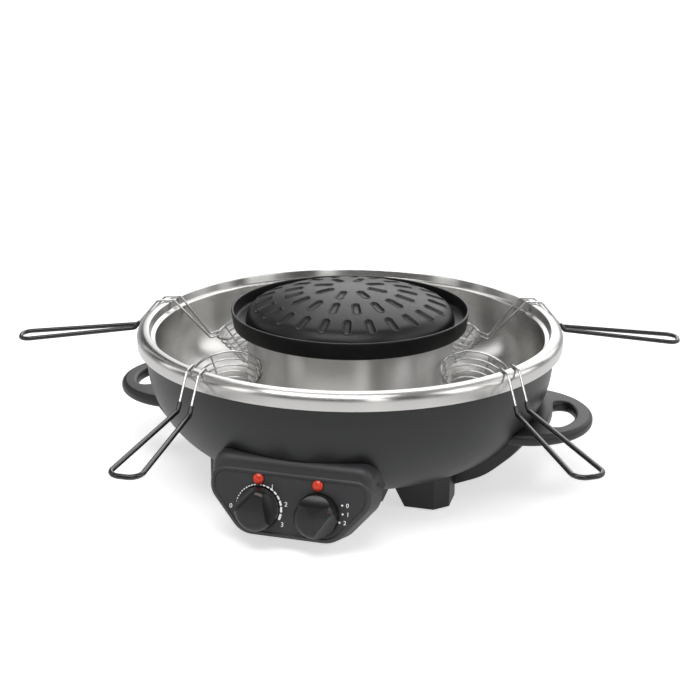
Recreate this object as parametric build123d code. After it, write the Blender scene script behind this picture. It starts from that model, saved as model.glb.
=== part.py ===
from build123d import *
from math import asin, atan2, cos, degrees, radians, sin, sqrt, tan
import os

# An electric table cooker: a steel hot pot trough around a domed grill plate.
# Frame: origin on the pot's axis at table level, +Z up, control panel facing -Y,
# ear handles on +X and -X. Lengths are millimetres and angles are degrees.

# ---- Driving dimensions ----

# Outer bowl, a painted steel shell
bowl_radius = 191.7          # outside of the straight wall
bowl_corner = 95.0           # large radius between base and wall
bowl_base_z = 21.7           # underside of the flat base
bowl_wall = 1.2
service_hole_radius = 62.0   # opening in the base, closed by the bottom plate
bottom_plate_overlap = 10.0
bottom_plate_thickness = 1.2

# Lift-out stainless pot
rim_height = 143.5           # crest of the rim above the table
rim_overhang = 8.3           # rim beyond the bowl's wall
rim_skirt = 14.2             # how far the rolled rim hangs down outside
rim_round = 7.0              # radius of the rim's outer shoulder
pot_wall = 1.0
pot_side_gap = 6.5           # between the pot and the bowl's inside
pot_corner = 50.0
pot_floor_z = 60.0           # water side
rim_width = 11.4             # the rim's flat top, in to the edge of the lid's step
lid_step_depth = 7.0
lid_ledge_inset = 1.4        # the step's wall leans inward by this much
lid_ledge_fall = 1.6

# Centre column of the pot
column_radius = 97.5
column_wall = 1.0
column_height = 82.3         # above the pot floor

# Cast grill plate
dome_radius = 98.5
dome_rise = 33.0             # crown above the gutter
dome_crown_radius = 245.0
dome_shoulder_radius = 18.0
grill_wall = 3.2
gutter_radius = 109.2        # inside of the raised edge, at the gutter
grill_lip_radius = 112.2
grill_edge_height = 15.8
grill_lip_width = 2.3
grill_foot_radius = 110.0
skirt_depth = 6.0            # locating skirt inside the column
skirt_wall = 2.5
skirt_clearance = 0.3
dimple_length = 18.5
dimple_width = 7.5
dimple_depth = 1.6
dimple_rows = ((82.0, 25, -76.6), (54.0, 17, -68.7), (26.5, 8, -92.8))  # radius, count, first angle

# Wire food baskets
ring_radius = 32.0
ring_wire = 1.1              # wire radii
hoop_wire = 0.8
rib_wire = 0.85
rib_outset = 1.2             # ribs outside the hoops
arm_wire = 1.1
ring_tilt = 20.0             # the side over the trough's middle is the higher one
hoop_count = 6
hoop_spacing = 5.4
basket_floor_radius = 18.0
ring_reach = 77.5            # from the rim crest back to the ring's centre
ring_drop = 28.5             # ring centre below the rim crest
arm_offset = 6.5
arm_tail = 7.0               # flat end of each arm outside the ring
arch_inner = 8.5             # half-lengths of the flat that lies on the rim
arch_outer = 7.0
hook_inset = 6.0             # where the wire crosses the rim, in from its outer edge
hook_clearance = 0.1
grip_start = 31.0            # the bend where the coated grip begins
grip_drop = 26.5
grip_end_radius = 9.5
bend_radius = 4.0
grip_half_width = 13.0
grip_coat = 2.15             # outside radius of the coating
coat_overlap = 4.0           # coating that runs up the bare leg
weld_gap = 0.02
baskets = (                  # name, hook's angle on the rim, handle's skew, its reach and its fall
    ("front_left", 243.1, 28.0, 156.5, 29.5),
    ("front_right", 329.7, -28.0, 158.5, 29.5),
    ("back_left", 174.3, 28.0, 146.0, 33.0),
    ("back_right", 36.7, -28.0, 146.0, 33.0),
)

# Ear handles and feet
bracket_half_width = 56.0
bracket_wall = 3.0
bracket_line = (             # in from the bowl's wall, height above the table
    (107.7, 11.0), (73.7, 9.5), (38.7, 25.5), (18.7, 45.0))
ear_proud = 40.3             # how far the ear stands out from the bowl's wall
ear_radius = 65.5            # plan radius of the ear's outline
ear_width = 16.0             # band between outline and finger hole
ear_bottom_z = 61.0
ear_top_z = 72.0
ear_round = 4.8
ear_hole_round = 4.2
finger_hole_round = 8.0
collar_wall = 2.3            # the wall that hugs the bowl
seat_gap = 0.3               # between mouldings and the bowl
foot_inner_x = 77.0
foot_outer_x = 115.0
foot_front_y = 89.0
foot_back_y = 50.0
foot_chamfer = 12.0
foot_flare = 10.0
pad_radius = 10.0
pad_height = 3.0
pad_proud = 1.5              # pad below the foot

# Control panel and housing
panel_y = -195.0
panel_z = 37.0
panel_tilt = 12.0
panel_top = 31.0             # outline, measured up the tilted face from its centre
panel_shoulder = 8.0
panel_bottom = 26.0
panel_half_width = 70.0
panel_foot_half_width = 41.0
fascia_depth = 22.0
fascia_lean = 12.0           # the fascia's sides lean inwards towards the back
fascia_wall = 2.5
face_inset = 0.8
face_border = 3.0
fascia_edge_round = 4.5
brow_top_z = 77.0            # the rolled brow that joins the panel to the bowl
brow_low_z = 45.0
brow_half_width = 70.8
brow_corner = 13.0
brow_round = 8.0
brow_set_back = 1.5
brow_back_y = -120.0
neck_bottom_z = 12.0
neck_top_z = 62.0
neck_half_width = 58.0       # the neck where it meets the fascia
neck_foot_half_width = 40.0
neck_side_z = 36.0
neck_back_half_width = 66.0  # the neck at its far end, under the bowl
neck_back_foot_half_width = 60.0
neck_back_side_z = 27.0
neck_back_y = -105.0
neck_front_y = -172.0
knob_offset = 26.0
knob_height_on_panel = -2.0
lamp_height_on_panel = 23.0
lamp_offsets = (-27.5, 24.5)
knob_radius = 18.2
knob_skirt = 5.0
knob_height = 14.0
knob_tip_half_width = 1.8    # the wedge grip's flat top, at the rim on its pointing side
knob_tail_half_width = 9.0
knob_scoop_radius = 15.0     # the round hollows beside the wedge
knob_gap = 0.1
knob_wall = 2.0
left_pointer_angle = 75.0
right_pointer_angle = 29.0
shaft_radius = 3.0
shaft_depth = 12.5           # shaft below the panel's front plane
shaft_length = 23.5
shaft_running_gap = 0.05
bushing_radius = 5.0
lamp_radius = 4.5
control_depth = 18.0
thermostat_radius = 17.0
selector_width = 28.0

# Power inlet, a standard size of appliance inlet
inlet_y = -155.5
inlet_z = 26.0
inlet_length = 27.0
inlet_height = 19.0
inlet_depth = 22.0
inlet_proud = 4.0
inlet_socket_depth = 16.0
inlet_wall = 2.0
pin_length = 13.0

# Heating parts
element_radius = 122.0
element_tube = 4.0
element_gap_angle = 16.0     # opening between the ring's two ends
grill_element_radius = 62.0
grill_element_z = 124.0
grill_reflector_z = 104.0
stand_radius = 11.0
stand_flange_radius = 40.0
reflector_z = 38.0
reflector_inset = 55.7       # the reflector's flat disc, in from the bowl's wall
reflector_flare = 14.0
sheet = 0.8                  # thin steel parts
bracket_angles = (30, 150, 210, 330)

# Screws
screw_radius = 1.9
screw_hole = 2.0
foot_screw_seat_z = 8.0
ear_screw_length = 9.0

# ---- Values worked out from them ----
bowl_top_z = rim_height - pot_wall
bowl_floor_z = bowl_base_z + bowl_wall
pot_wall_radius = bowl_radius - bowl_wall - pot_side_gap - pot_wall    # water side
rim_radius = bowl_radius + rim_overhang
lid_step_radius = rim_radius - rim_width
hook_radius = rim_radius - hook_inset
collar_radius = bowl_radius + collar_wall
ear_reach = bowl_radius + ear_proud
reflector_radius = bowl_radius - reflector_inset
column_top_z = pot_floor_z + column_height
gutter_z = column_top_z + grill_wall
hook_z = rim_height + hook_clearance + arm_wire
panel_plane = Plane(
    origin=(0, panel_y, panel_z),
    x_dir=(1, 0, 0),
    z_dir=(0, -cos(radians(panel_tilt)), sin(radians(panel_tilt))),
)


# ---- Helpers ----

def polar(radius, angle, z=0.0):
    return (radius * cos(radians(angle)), radius * sin(radians(angle)), z)


def turned(face):
    """A solid of revolution about Z from a face drawn as radius and height."""
    return revolve(Plane.XZ * face, Axis.Z)


def turned_sheet(points, radii, thickness, side):
    """A turned sheet-metal part: a filleted line of radius and height, given a thickness."""
    line = FilletPolyline(*points, radius=radii)
    return turned(make_face(offset(line, thickness, side=side)))


def polygon(points):
    return make_face(Polyline(*points, close=True))


def polygon_prism(plane, points, height):
    return extrude(plane * polygon(points), height)


def disc(radius, z, thickness, at=(0, 0)):
    return Pos(at[0], at[1], z + thickness / 2) * Cylinder(radius, thickness)


def box_between(low, high):
    centre = [(a + b) / 2 for a, b in zip(low, high)]
    sizes = [b - a for a, b in zip(low, high)]
    return Pos(*centre) * Box(*sizes)


def bowl_wall_angle(z):
    """How far the bowl's outward normal points below the horizontal, at height z."""
    return degrees(asin((bowl_base_z + bowl_corner - z) / bowl_corner))


def bowl_surface_radius(z, grow=0.0):
    """Radius of the bowl's outside, grown by a clearance, at height z."""
    corner = bowl_corner + grow
    drop = min(corner, max(0.0, bowl_base_z + bowl_corner - z))
    return bowl_radius - bowl_corner + sqrt(corner * corner - drop * drop)


def bowl_body(grow):
    """The space that the bowl takes up, grown by a clearance."""
    low = bowl_base_z - grow
    wide = bowl_radius + grow
    corner = bowl_corner + grow
    top = bowl_top_z + 40
    outline = FilletPolyline((0, low), (wide, low), (wide, top), radius=corner)
    closing = Polyline((wide, top), (0, top), (0, low))
    return turned(make_face(outline + closing))


def mirrored_x(shape):
    return mirror(shape, Plane.YZ)


def mirrored_y(shape):
    return mirror(shape, Plane.XZ)


# ---- Outer bowl and its bottom plate ----

def ear_screw_planes():
    """Places of the four ear screws, on the bowl's inside and square to its wall."""
    height = (ear_bottom_z + ear_top_z) / 2
    slope = radians(bowl_wall_angle(height))
    planes = []
    for angle in (-10, 10, 170, 190):
        outward = polar(cos(slope), angle, -sin(slope))
        point = polar(bowl_surface_radius(height, -bowl_wall - 0.12), angle, height)
        planes.append(Plane(origin=point, z_dir=outward))
    return planes


def foot_screw_points():
    x = (foot_inner_x + foot_outer_x) / 2
    y = (foot_front_y + foot_back_y) / 2
    return [(sx * x, sy * y) for sx in (-1, 1) for sy in (-1, 1)]


def bottom_screw_points():
    radius = service_hole_radius + bottom_plate_overlap / 2
    return [polar(radius, angle)[:2] for angle in (45, 135, 225, 315)]


def outer_bowl():
    bowl = turned_sheet(
        ((service_hole_radius, bowl_base_z), (bowl_radius, bowl_base_z), (bowl_radius, bowl_top_z)),
        bowl_corner, bowl_wall, Side.LEFT,
    )
    for x, y in foot_screw_points() + bottom_screw_points():
        bowl -= disc(screw_hole, 0, 60, (x, y))
    for plane in ear_screw_planes():
        bowl -= plane * Cylinder(screw_hole, 20)
    wire_slot = box_between((-20, -156, 26), (20, -118, 40))
    return bowl - wire_slot


def bottom_plate():
    radius = service_hole_radius + bottom_plate_overlap
    plate = disc(radius, bowl_base_z - bottom_plate_thickness, bottom_plate_thickness)
    plate += disc(service_hole_radius - seat_gap, bowl_base_z, bowl_wall)
    for x, y in bottom_screw_points():
        plate -= disc(screw_hole, 0, 60, (x, y))
    for row in range(-3, 4):
        half = 26 - 4 * abs(row)
        slot = extrude(SlotOverall(2 * half, 3.0), 60)
        plate -= Pos(0, 8 * row, 0) * slot
    return plate


def screw(shank_length, head_radius=3.6, head_height=2.2):
    """A pan-head screw along +Z, with the underside of its head at the origin."""
    shank = Pos(0, 0, shank_length / 2) * Cylinder(screw_radius, shank_length)
    head = Pos(0, 0, -head_height / 2) * Cylinder(head_radius, head_height)
    head = fillet(head.edges().filter_by(GeomType.CIRCLE).sort_by(Axis.Z)[:1], 0.8)
    slot = Pos(0, 0, -head_height) * Box(0.8, 2 * head_radius, 1.4)
    return shank + head - slot


def bottom_plate_screws():
    z = bowl_base_z - bottom_plate_thickness
    return [Pos(x, y, z) * screw(7) for x, y in bottom_screw_points()]


# ---- Feet ----

def foot():
    """The front right foot, its top cut to the bowl."""
    outer, front, back = foot_outer_x, -foot_front_y, -foot_back_y
    inner_top = foot_inner_x - foot_flare
    plan = polygon_prism(Plane.XY.offset(pad_proud), (
        (inner_top, front), (outer - foot_chamfer, front), (outer, front + foot_chamfer),
        (outer, back), (inner_top, back)), 50)
    side = polygon_prism(Plane.XZ.offset(foot_front_y + 1), (
        (foot_inner_x, 0), (outer + 1, 0), (outer + 1, 50),
        (inner_top, 50), (inner_top, bowl_base_z - 3)), -foot_front_y)
    body = plan & side
    body = fillet(body.edges().filter_by(Axis.Z), 1.5)
    body -= bowl_body(seat_gap / 3)
    x, y = foot_screw_points()[2]
    body -= disc(screw_hole, 0, 60, (x, y))
    body -= disc(4.2, 0, foot_screw_seat_z, (x, y))
    body -= disc(pad_radius + 0.1, pad_proud, pad_height - pad_proud, (x, y))
    return body


def foot_pad():
    x, y = foot_screw_points()[2]
    pad = disc(pad_radius, 0, pad_height, (x, y))
    pad -= disc(4.2, -1, pad_height + 2, (x, y))
    return fillet(pad.edges().filter_by(GeomType.CIRCLE).sort_by(Axis.Z)[:1], 0.6)


def foot_screw():
    x, y = foot_screw_points()[2]
    top = bowl_floor_z + 7
    return Pos(x, y, foot_screw_seat_z) * screw(top - foot_screw_seat_z, 3.8)


def on_four_corners(shape):
    return {
        "front_right": shape,
        "front_left": mirrored_x(shape),
        "back_right": mirrored_y(shape),
        "back_left": mirrored_x(mirrored_y(shape)),
    }


# ---- Ear handles ----

def ear_slab():
    """The ear seen from above, with every edge of its outline and finger hole rounded."""
    centre_x = ear_reach - ear_radius
    height = ear_top_z - ear_bottom_z
    middle_z = (ear_top_z + ear_bottom_z) / 2

    def is_rim(edge):
        return edge.center().X > collar_radius - 20 and abs(edge.center().Z - middle_z) > 1

    hole = Pos(centre_x, 0) * Circle(ear_radius - ear_width) - Circle(collar_radius)
    hole = fillet(hole.vertices(), finger_hole_round)
    slab = extrude(Plane.XY.offset(ear_bottom_z) * Pos(centre_x, 0) * Circle(ear_radius), height)
    slab = fillet(slab.edges().filter_by(lambda e: abs(e.center().Z - middle_z) > 1), ear_round)
    slab -= extrude(Plane.XY.offset(ear_bottom_z - 1) * hole, height + 2)
    return fillet(slab.edges().filter_by(is_rim), ear_hole_round)


def ear_handle():
    """The right ear: a ring for the fingers on a bracket that hugs the bowl."""
    line = [(bowl_radius - inset, height) for inset, height in bracket_line]
    start_x = line[0][0]
    outer = FilletPolyline(
        (start_x, bowl_base_z), *line, (collar_radius - 8, ear_bottom_z + 1),
        (collar_radius, ear_bottom_z + 7), (collar_radius, ear_top_z),
        radius=(3, 20, 60, 60, 12, 2))
    closing = Polyline(
        (collar_radius, ear_top_z), (collar_radius - 44, ear_top_z),
        (start_x + 36, bowl_base_z + 18), (start_x, bowl_base_z))
    full = turned(make_face(outer + closing))
    wall = turned(make_face(offset(outer, bracket_wall, side=Side.LEFT)))
    half = bracket_half_width
    bracket = wall & box_between((40, -half, 0), (260, half, 120))
    for low in (-half, half - bracket_wall):
        bracket += full & box_between((40, low, 0), (260, low + bracket_wall, 120))
    for side in (-1, 1):
        near, far = sorted((side * (foot_back_y - seat_gap), side * 100))
        bracket -= box_between((0, near, 0), (foot_outer_x + seat_gap, far, 60))
    body = bracket + ear_slab() - bowl_body(seat_gap / 3)
    for plane in ear_screw_planes()[:2]:
        body -= plane * Pos(0, 0, ear_screw_length / 2) * Cylinder(screw_hole, ear_screw_length + 1)
    return body


def ear_screws():
    return [plane * screw(ear_screw_length, 3.4, 2.0) for plane in ear_screw_planes()]


# ---- Pot ----

def inner_pot():
    ledge_radius = lid_step_radius - lid_ledge_inset
    ledge_z = rim_height - lid_step_depth
    return turned_sheet(
        (
            (column_radius, pot_floor_z),
            (pot_wall_radius, pot_floor_z),
            (pot_wall_radius, ledge_z - lid_ledge_fall),
            (ledge_radius, ledge_z),
            (lid_step_radius, rim_height),
            (rim_radius, rim_height),
            (rim_radius, rim_height - rim_skirt),
        ),
        (pot_corner, 1.0, 0.6, 1.2, rim_round), pot_wall, Side.RIGHT,
    )


def centre_column():
    tube = Cylinder(column_radius, column_height + pot_wall)
    tube -= Cylinder(column_radius - column_wall, column_height + pot_wall + 1)
    return Pos(0, 0, (column_top_z + pot_floor_z - pot_wall) / 2) * tube


# ---- Grill plate ----

def dome_face(inset):
    """Half-section under the dome's skin, drawn down to the gutter."""
    crown_z = gutter_z + dome_rise
    crown_centre = crown_z - dome_crown_radius
    shoulder_r = dome_radius - dome_shoulder_radius
    reach = dome_crown_radius - dome_shoulder_radius
    shoulder_z = crown_centre + sqrt(reach * reach - shoulder_r * shoulder_r)
    crown = dome_crown_radius - inset
    shoulder = dome_shoulder_radius - inset
    lean = atan2(shoulder_r, shoulder_z - crown_centre)

    def on_crown(angle):
        return (crown * sin(angle), crown_centre + crown * cos(angle))

    def on_shoulder(angle):
        return (shoulder_r + shoulder * sin(angle), shoulder_z + shoulder * cos(angle))

    side_angle = radians(90)
    floor = min(gutter_z, shoulder_z) - 12
    top = ThreePointArc(on_crown(0), on_crown(lean / 2), on_crown(lean))
    side = ThreePointArc(on_crown(lean), on_shoulder((lean + side_angle) / 2), on_shoulder(side_angle))
    rest = Polyline(on_shoulder(side_angle), (dome_radius - inset, floor), (0, floor), on_crown(0))
    return make_face(top + side + rest)


def grill_plate():
    skirt_radius = column_radius - column_wall - skirt_clearance
    lip_z = column_top_z + grill_edge_height
    edge = polygon((
        (skirt_radius - skirt_wall, column_top_z - skirt_depth),
        (skirt_radius, column_top_z - skirt_depth),
        (skirt_radius, column_top_z),
        (grill_foot_radius, column_top_z),
        (grill_lip_radius, lip_z),
        (grill_lip_radius - grill_lip_width, lip_z),
        (gutter_radius, gutter_z),
        (dome_radius - 1, gutter_z),
        (skirt_radius - skirt_wall, gutter_z),
    ))
    corners = edge.vertices().filter_by(lambda v: v.X > grill_foot_radius - 2 and v.Y > gutter_z - 9)
    edge = fillet(corners, 0.9)
    above = polygon(((0, column_top_z), (200, column_top_z), (200, 400), (0, 400)))
    dome = turned(dome_face(0.0) & above) - turned(dome_face(grill_wall))
    solid = turned(edge) - turned(dome_face(grill_wall)) + dome
    return solid - dimples()


def dimples():
    skin = turned(dome_face(0.0)) - turned(dome_face(dimple_depth))
    slots = []
    for radius, count, first in dimple_rows:
        prism = extrude(SlotOverall(dimple_length, dimple_width), 80)
        for i in range(count):
            place = Rot(0, 0, first + 360 * i / count) * Pos(radius, 0, gutter_z)
            slots.append(place * prism)
    return [slot & skin for slot in slots]


# ---- Baskets ----

def ring_plane_point(out, side, up=0.0):
    """A point by its place in the tilted ring plane: outward, sideways and square to it."""
    t = radians(ring_tilt)
    x = -ring_reach + out * cos(t) + up * sin(t)
    z = rim_height - ring_drop - out * sin(t) + up * cos(t)
    return (x, side, z)


def basket_rib(extra_depth):
    """A U of wire from one side of the ring to the other, just outside the hoops."""
    depth = hoop_count * hoop_spacing + hoop_spacing / 4
    foot_radius = basket_floor_radius + rib_outset
    half_profile = [
        (ring_radius + rib_outset, 0),
        (foot_radius, -depth),
        (foot_radius - 5, -depth - 4 - extra_depth),
    ]
    profile = half_profile + [(-x, z) for x, z in half_profile[::-1]]
    path = Plane.XZ * FilletPolyline(*profile, radius=3.0)
    start = Plane(origin=path @ 0, z_dir=path % 0)
    return sweep(start * Circle(rib_wire), path=path)


def basket_cage():
    """Hoops and two U-shaped ribs, welded; drawn about the hook's point on the rim."""
    depth = hoop_count * hoop_spacing
    cage = Torus(ring_radius, ring_wire)
    taper = (ring_radius - basket_floor_radius) / depth
    for i in range(1, hoop_count + 1):
        down = i * hoop_spacing
        cage += Pos(0, 0, -down - hoop_spacing / 4) * Torus(ring_radius - taper * down, hoop_wire)
    cage += Rot(0, 0, 45) * basket_rib(0.0)
    cage += Rot(0, 0, 135) * basket_rib(rib_wire)
    place = Plane(
        origin=ring_plane_point(0, 0), x_dir=(cos(radians(ring_tilt)), 0, -sin(radians(ring_tilt))),
        z_dir=(sin(radians(ring_tilt)), 0, cos(radians(ring_tilt))))
    return place * cage


def arm_points(side, skew):
    """One arm from the ring over the rim to the bend above the grip."""
    y = side * arm_offset
    shift = y * tan(radians(skew))
    above = ring_wire + arm_wire + weld_gap
    out = sqrt(ring_radius * ring_radius - arm_offset * arm_offset)
    return [
        ring_plane_point(out - 2, y, above),
        ring_plane_point(out + arm_tail, y, above),
        (-arch_inner + shift, y, hook_z),
        (arch_outer + shift, y, hook_z),
        (grip_start + shift, y, rim_height - grip_drop),
    ]


def grip_corner(side, reach, fall):
    """The far corner of the grip loop on one side."""
    return (reach, side * grip_half_width, rim_height - fall)


def swept_wire(points, radii, radius, bore=0.0):
    path = FilletPolyline(*points, radius=radii)
    start = Plane(origin=path @ 0, z_dir=path % 0)
    section = Circle(radius) - Circle(bore) if bore else Circle(radius)
    return sweep(start * section, path=path)


def basket_handle(skew, reach, fall):
    """One bare wire: along the ring, over the rim, round the grip loop and back."""
    right, left = arm_points(-1, skew), arm_points(1, skew)
    corners = [grip_corner(side, reach, fall) for side in (-1, 1)]
    points = right + corners + left[::-1]
    arm_radii = (3.0, 6.0, 6.0, bend_radius)
    radii = arm_radii + (grip_end_radius, grip_end_radius) + arm_radii[::-1]
    return swept_wire(points, radii, arm_wire)


def basket_grip(skew, reach, fall):
    """The dipped coating on the loop of the handle's wire."""
    right, left = arm_points(-1, skew), arm_points(1, skew)

    def coat_start(arm):
        bend, above = Vector(arm[-1]), Vector(arm[-2])
        return tuple(bend + (above - bend).normalized() * (coat_overlap + bend_radius))

    corners = [grip_corner(side, reach, fall) for side in (-1, 1)]
    points = [coat_start(right), right[-1]] + corners + [left[-1], coat_start(left)]
    radii = (bend_radius, grip_end_radius, grip_end_radius, bend_radius)
    return swept_wire(points, radii, grip_coat, arm_wire + weld_gap)


def basket_place(hook_angle, skew):
    return Pos(*polar(hook_radius, hook_angle)) * Rot(0, 0, hook_angle + skew)


# ---- Control housing ----

def panel_outline(inset=0.0, narrower=0.0):
    top, low = panel_top - inset, -panel_bottom + inset
    wide = panel_half_width - inset - narrower
    foot_wide = panel_foot_half_width - 0.6 * inset - narrower
    right = [(wide, top), (wide, panel_shoulder), (foot_wide, low)]
    left = [(-x, y) for x, y in right[::-1]]
    face = polygon(right + left)
    rounds = ((top, 13.0), (panel_shoulder, 18.0), (low, 22.0))
    for height, radius in rounds:
        corners = face.vertices().filter_by(lambda v: abs(v.Y - height) < 0.01)
        face = fillet(corners, max(1.0, radius - inset))
    return face


def panel_outline_at(depth, inset=0.0):
    """The panel's outline at a depth behind its front, where its sides have leant inwards."""
    return Pos(0, 0, -depth) * panel_outline(inset, depth * tan(radians(fascia_lean)))


def panel_block(front_depth, back_depth, inset=0.0):
    sections = [panel_outline_at(back_depth, inset), panel_outline_at(front_depth, inset)]
    return loft(sections, ruled=True)


def neck_section(y, wide, foot_wide, side, inset):
    """The neck's section at y, from its half widths above and below and its shoulder's height."""
    low = neck_bottom_z + inset
    right = [(foot_wide - inset, low), (wide - inset, side), (wide - inset, neck_top_z)]
    left = [(-x, z) for x, z in right[::-1]]
    return Plane.XZ.offset(-y) * polygon(right + left)


def neck_block(inset=0.0):
    """The neck widens from the inlet's place to its far end under the bowl."""
    narrow = (neck_half_width, neck_foot_half_width, neck_side_z, inset)
    wide = (neck_back_half_width, neck_back_foot_half_width, neck_back_side_z, inset)
    widening_y = inlet_y + inlet_length / 2 + 2
    front = loft([neck_section(neck_front_y - 10, *narrow), neck_section(widening_y, *narrow)], ruled=True)
    back = loft([neck_section(widening_y, *narrow), neck_section(neck_back_y - inset, *wide)], ruled=True)
    return front + back


def brow_block(inset=0.0, set_back=brow_set_back):
    """The brow runs straight back from the leaning panel into the bowl."""
    wide, top, low = brow_half_width - inset, brow_top_z - inset, brow_low_z + inset
    outline = polygon([(wide, low), (wide, top), (-wide, top), (-wide, low)])
    corners = outline.vertices().filter_by(lambda v: v.Y > low + 1)
    outline = fillet(corners, brow_corner - inset)
    block = extrude(Plane.XZ.offset(-brow_back_y) * outline, 100)
    block &= panel_plane * Pos(0, 0, -set_back - 100) * Box(300, 300, 200)
    front = block.faces().sort_by(Axis.Y)[0]
    edges = front.edges().filter_by(lambda e: e.center().Z > low + 1)
    return fillet(edges, brow_round - inset)


def on_panel(u, w, shape):
    """Puts a shape drawn along +Z at a point of the panel, standing out of it."""
    return panel_plane * Pos(u, w, 0) * shape


def panel_fascia():
    outside = panel_block(0, fascia_depth)
    front = outside.faces().sort_by(Axis.Z)[-1]
    outside = panel_plane * fillet(front.edges(), fascia_edge_round) + brow_block()
    outside -= panel_plane * extrude(panel_outline(face_border), -face_inset)
    cavity = panel_plane * panel_block(fascia_wall + face_inset, fascia_depth + 1, fascia_wall)
    cavity += brow_block(fascia_wall, brow_set_back + fascia_wall + face_inset)
    body = outside - cavity - (neck_block(fascia_wall) & behind_fascia())
    for side, lamp_offset in zip((-1, 1), lamp_offsets):
        body -= on_panel(side * knob_offset, knob_height_on_panel, Cylinder(bushing_radius + 0.1, 20))
        body -= on_panel(lamp_offset, lamp_height_on_panel, Cylinder(lamp_radius + 0.05, 20))
    return body - bowl_body(seat_gap)


def behind_fascia(gap=0.0):
    """Everything behind the fascia's rear edge."""
    return panel_plane * Pos(0, 0, -fascia_depth - gap - 100) * Box(300, 300, 200)


def inlet_box(grow=0.0):
    outer_x = -neck_half_width - inlet_proud
    half_length = inlet_length / 2 + grow
    half_height = inlet_height / 2 + grow
    return box_between(
        (outer_x - grow, inlet_y - half_length, inlet_z - half_height),
        (outer_x + inlet_depth + grow, inlet_y + half_length, inlet_z + half_height))


def control_housing():
    body = (neck_block() - neck_block(fascia_wall)) & behind_fascia()
    flange = panel_outline_at(fascia_depth, 0.4) - panel_outline_at(fascia_depth, 9)
    body += panel_plane * extrude(flange, -fascia_wall)
    body -= inlet_box(0.1)
    return body - brow_block() - bowl_body(seat_gap)


def control_body(can_face, terminal_places):
    """A control with its bushing through the panel, drawn along the shaft."""
    front = -fascia_wall - face_inset - 0.1
    body = Pos(0, 0, front) * extrude(can_face, -control_depth)
    body += Pos(0, 0, front) * extrude(Circle(bushing_radius), -front)
    for x in terminal_places:
        body += Pos(x, 0, front - control_depth - 3) * Box(5, 0.8, 6)
    bore = extrude(Circle(shaft_radius + shaft_running_gap), -shaft_depth - 0.5)
    return body - bore


def thermostat():
    return control_body(Circle(thermostat_radius), (-7, 7))


def selector_switch():
    return control_body(RectangleRounded(selector_width, selector_width, 2), (-9, 0, 9))


def knob_shaft():
    return Pos(0, 0, -shaft_depth) * extrude(Circle(shaft_radius), shaft_length)


def knob_scoop(side):
    """The round cutter that hollows one side of the wedge grip."""
    lean = degrees(atan2(knob_tail_half_width - knob_tip_half_width, 2 * knob_radius))
    axis_height = knob_gap + knob_skirt + knob_scoop_radius
    above_top = axis_height - knob_gap - knob_height
    half_chord = sqrt(knob_scoop_radius ** 2 - above_top ** 2)
    middle = (knob_tip_half_width + knob_tail_half_width) / 2 + half_chord
    cutter = Rot(0, 90, 0) * Cylinder(knob_scoop_radius, 4 * knob_radius)
    return Pos(0, side * middle, axis_height) * Rot(0, 0, -side * lean) * cutter


def knob():
    """A round knob hollowed on both sides of a wedge-shaped grip, its narrow end on +X."""
    body = Pos(0, 0, knob_gap + knob_height / 2) * Cylinder(knob_radius, knob_height)
    body = fillet(body.edges().filter_by(GeomType.CIRCLE).sort_by(Axis.Z)[-1:], 2.0)
    for side in (-1, 1):
        body -= knob_scoop(side)
    socket_depth = shaft_length - shaft_depth - knob_gap + 0.1
    socket = Pos(0, 0, knob_gap) * extrude(Circle(shaft_radius + 0.02), socket_depth)
    hollow = Pos(0, 0, knob_gap) * (extrude(Circle(knob_radius - knob_wall), knob_skirt - knob_wall)
                                    - extrude(Circle(shaft_radius + 2.5), knob_skirt))
    return body - socket - hollow


def knob_pointer():
    """The small inlaid mark at the grip's narrow end."""
    top = knob_gap + knob_height
    return Pos(knob_radius - 5.5, 0, top + 0.2) * Box(5.0, 1.2, 0.4)


def lamp_lens():
    lens = Pos(0, 0, -2.2) * Cylinder(lamp_radius, 7.6)
    lens = fillet(lens.edges().filter_by(GeomType.CIRCLE).sort_by(Axis.Z)[-1:], 1.4)
    return lens - Pos(0, 0, -3.8) * Cylinder(lamp_radius - 1.2, 6)


def lamp_bulb():
    bulb = Pos(0, 0, -6.5) * Cylinder(lamp_radius - 1.3, 9)
    return fillet(bulb.edges().filter_by(GeomType.CIRCLE).sort_by(Axis.Z)[-1:], 1.4)


def power_inlet():
    outer_x = -neck_half_width - inlet_proud
    half_length = inlet_length / 2 - inlet_wall
    half_height = inlet_height / 2 - inlet_wall
    socket = box_between(
        (outer_x - 1, inlet_y - half_length, inlet_z - half_height),
        (outer_x + inlet_socket_depth, inlet_y + half_length, inlet_z + half_height))
    return inlet_box() - socket


def inlet_pins():
    x = -neck_half_width - inlet_proud + inlet_socket_depth - pin_length / 2
    places = ((-7, -1.5), (0, 2.5), (7, -1.5))
    return [Pos(x, inlet_y + dy, inlet_z + dz) * Box(pin_length, 2.0, 4.0) for dy, dz in places]


# ---- Heating parts ----

def heater_ring(radius, z, pin_bottom_z, facing):
    """A tubular heater bent to an open ring, with two cold pins turned down at its ends."""
    start = facing + element_gap_angle / 2
    path = CenterArc((0, 0, z), radius, start, 360 - element_gap_angle)
    ring = sweep(Plane(origin=path @ 0, z_dir=path % 0) * Circle(element_tube), path=path)
    for angle in (start + 3, start - element_gap_angle - 3):
        x, y, _ = polar(radius, angle)
        ring += disc(2.4, pin_bottom_z, z - pin_bottom_z, (x, y))
    return ring


def hotpot_element_z():
    return pot_floor_z - pot_wall - seat_gap - element_tube


def hotpot_element():
    return heater_ring(element_radius, hotpot_element_z(), bowl_floor_z + 7, 270)


def grill_element():
    return heater_ring(grill_element_radius, grill_element_z, bowl_floor_z + 7, 270)


def pin_places(radius):
    offset_angle = element_gap_angle / 2 + 3
    return [polar(radius, 270 + turn * offset_angle)[:2] for turn in (1, -1)]


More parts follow.
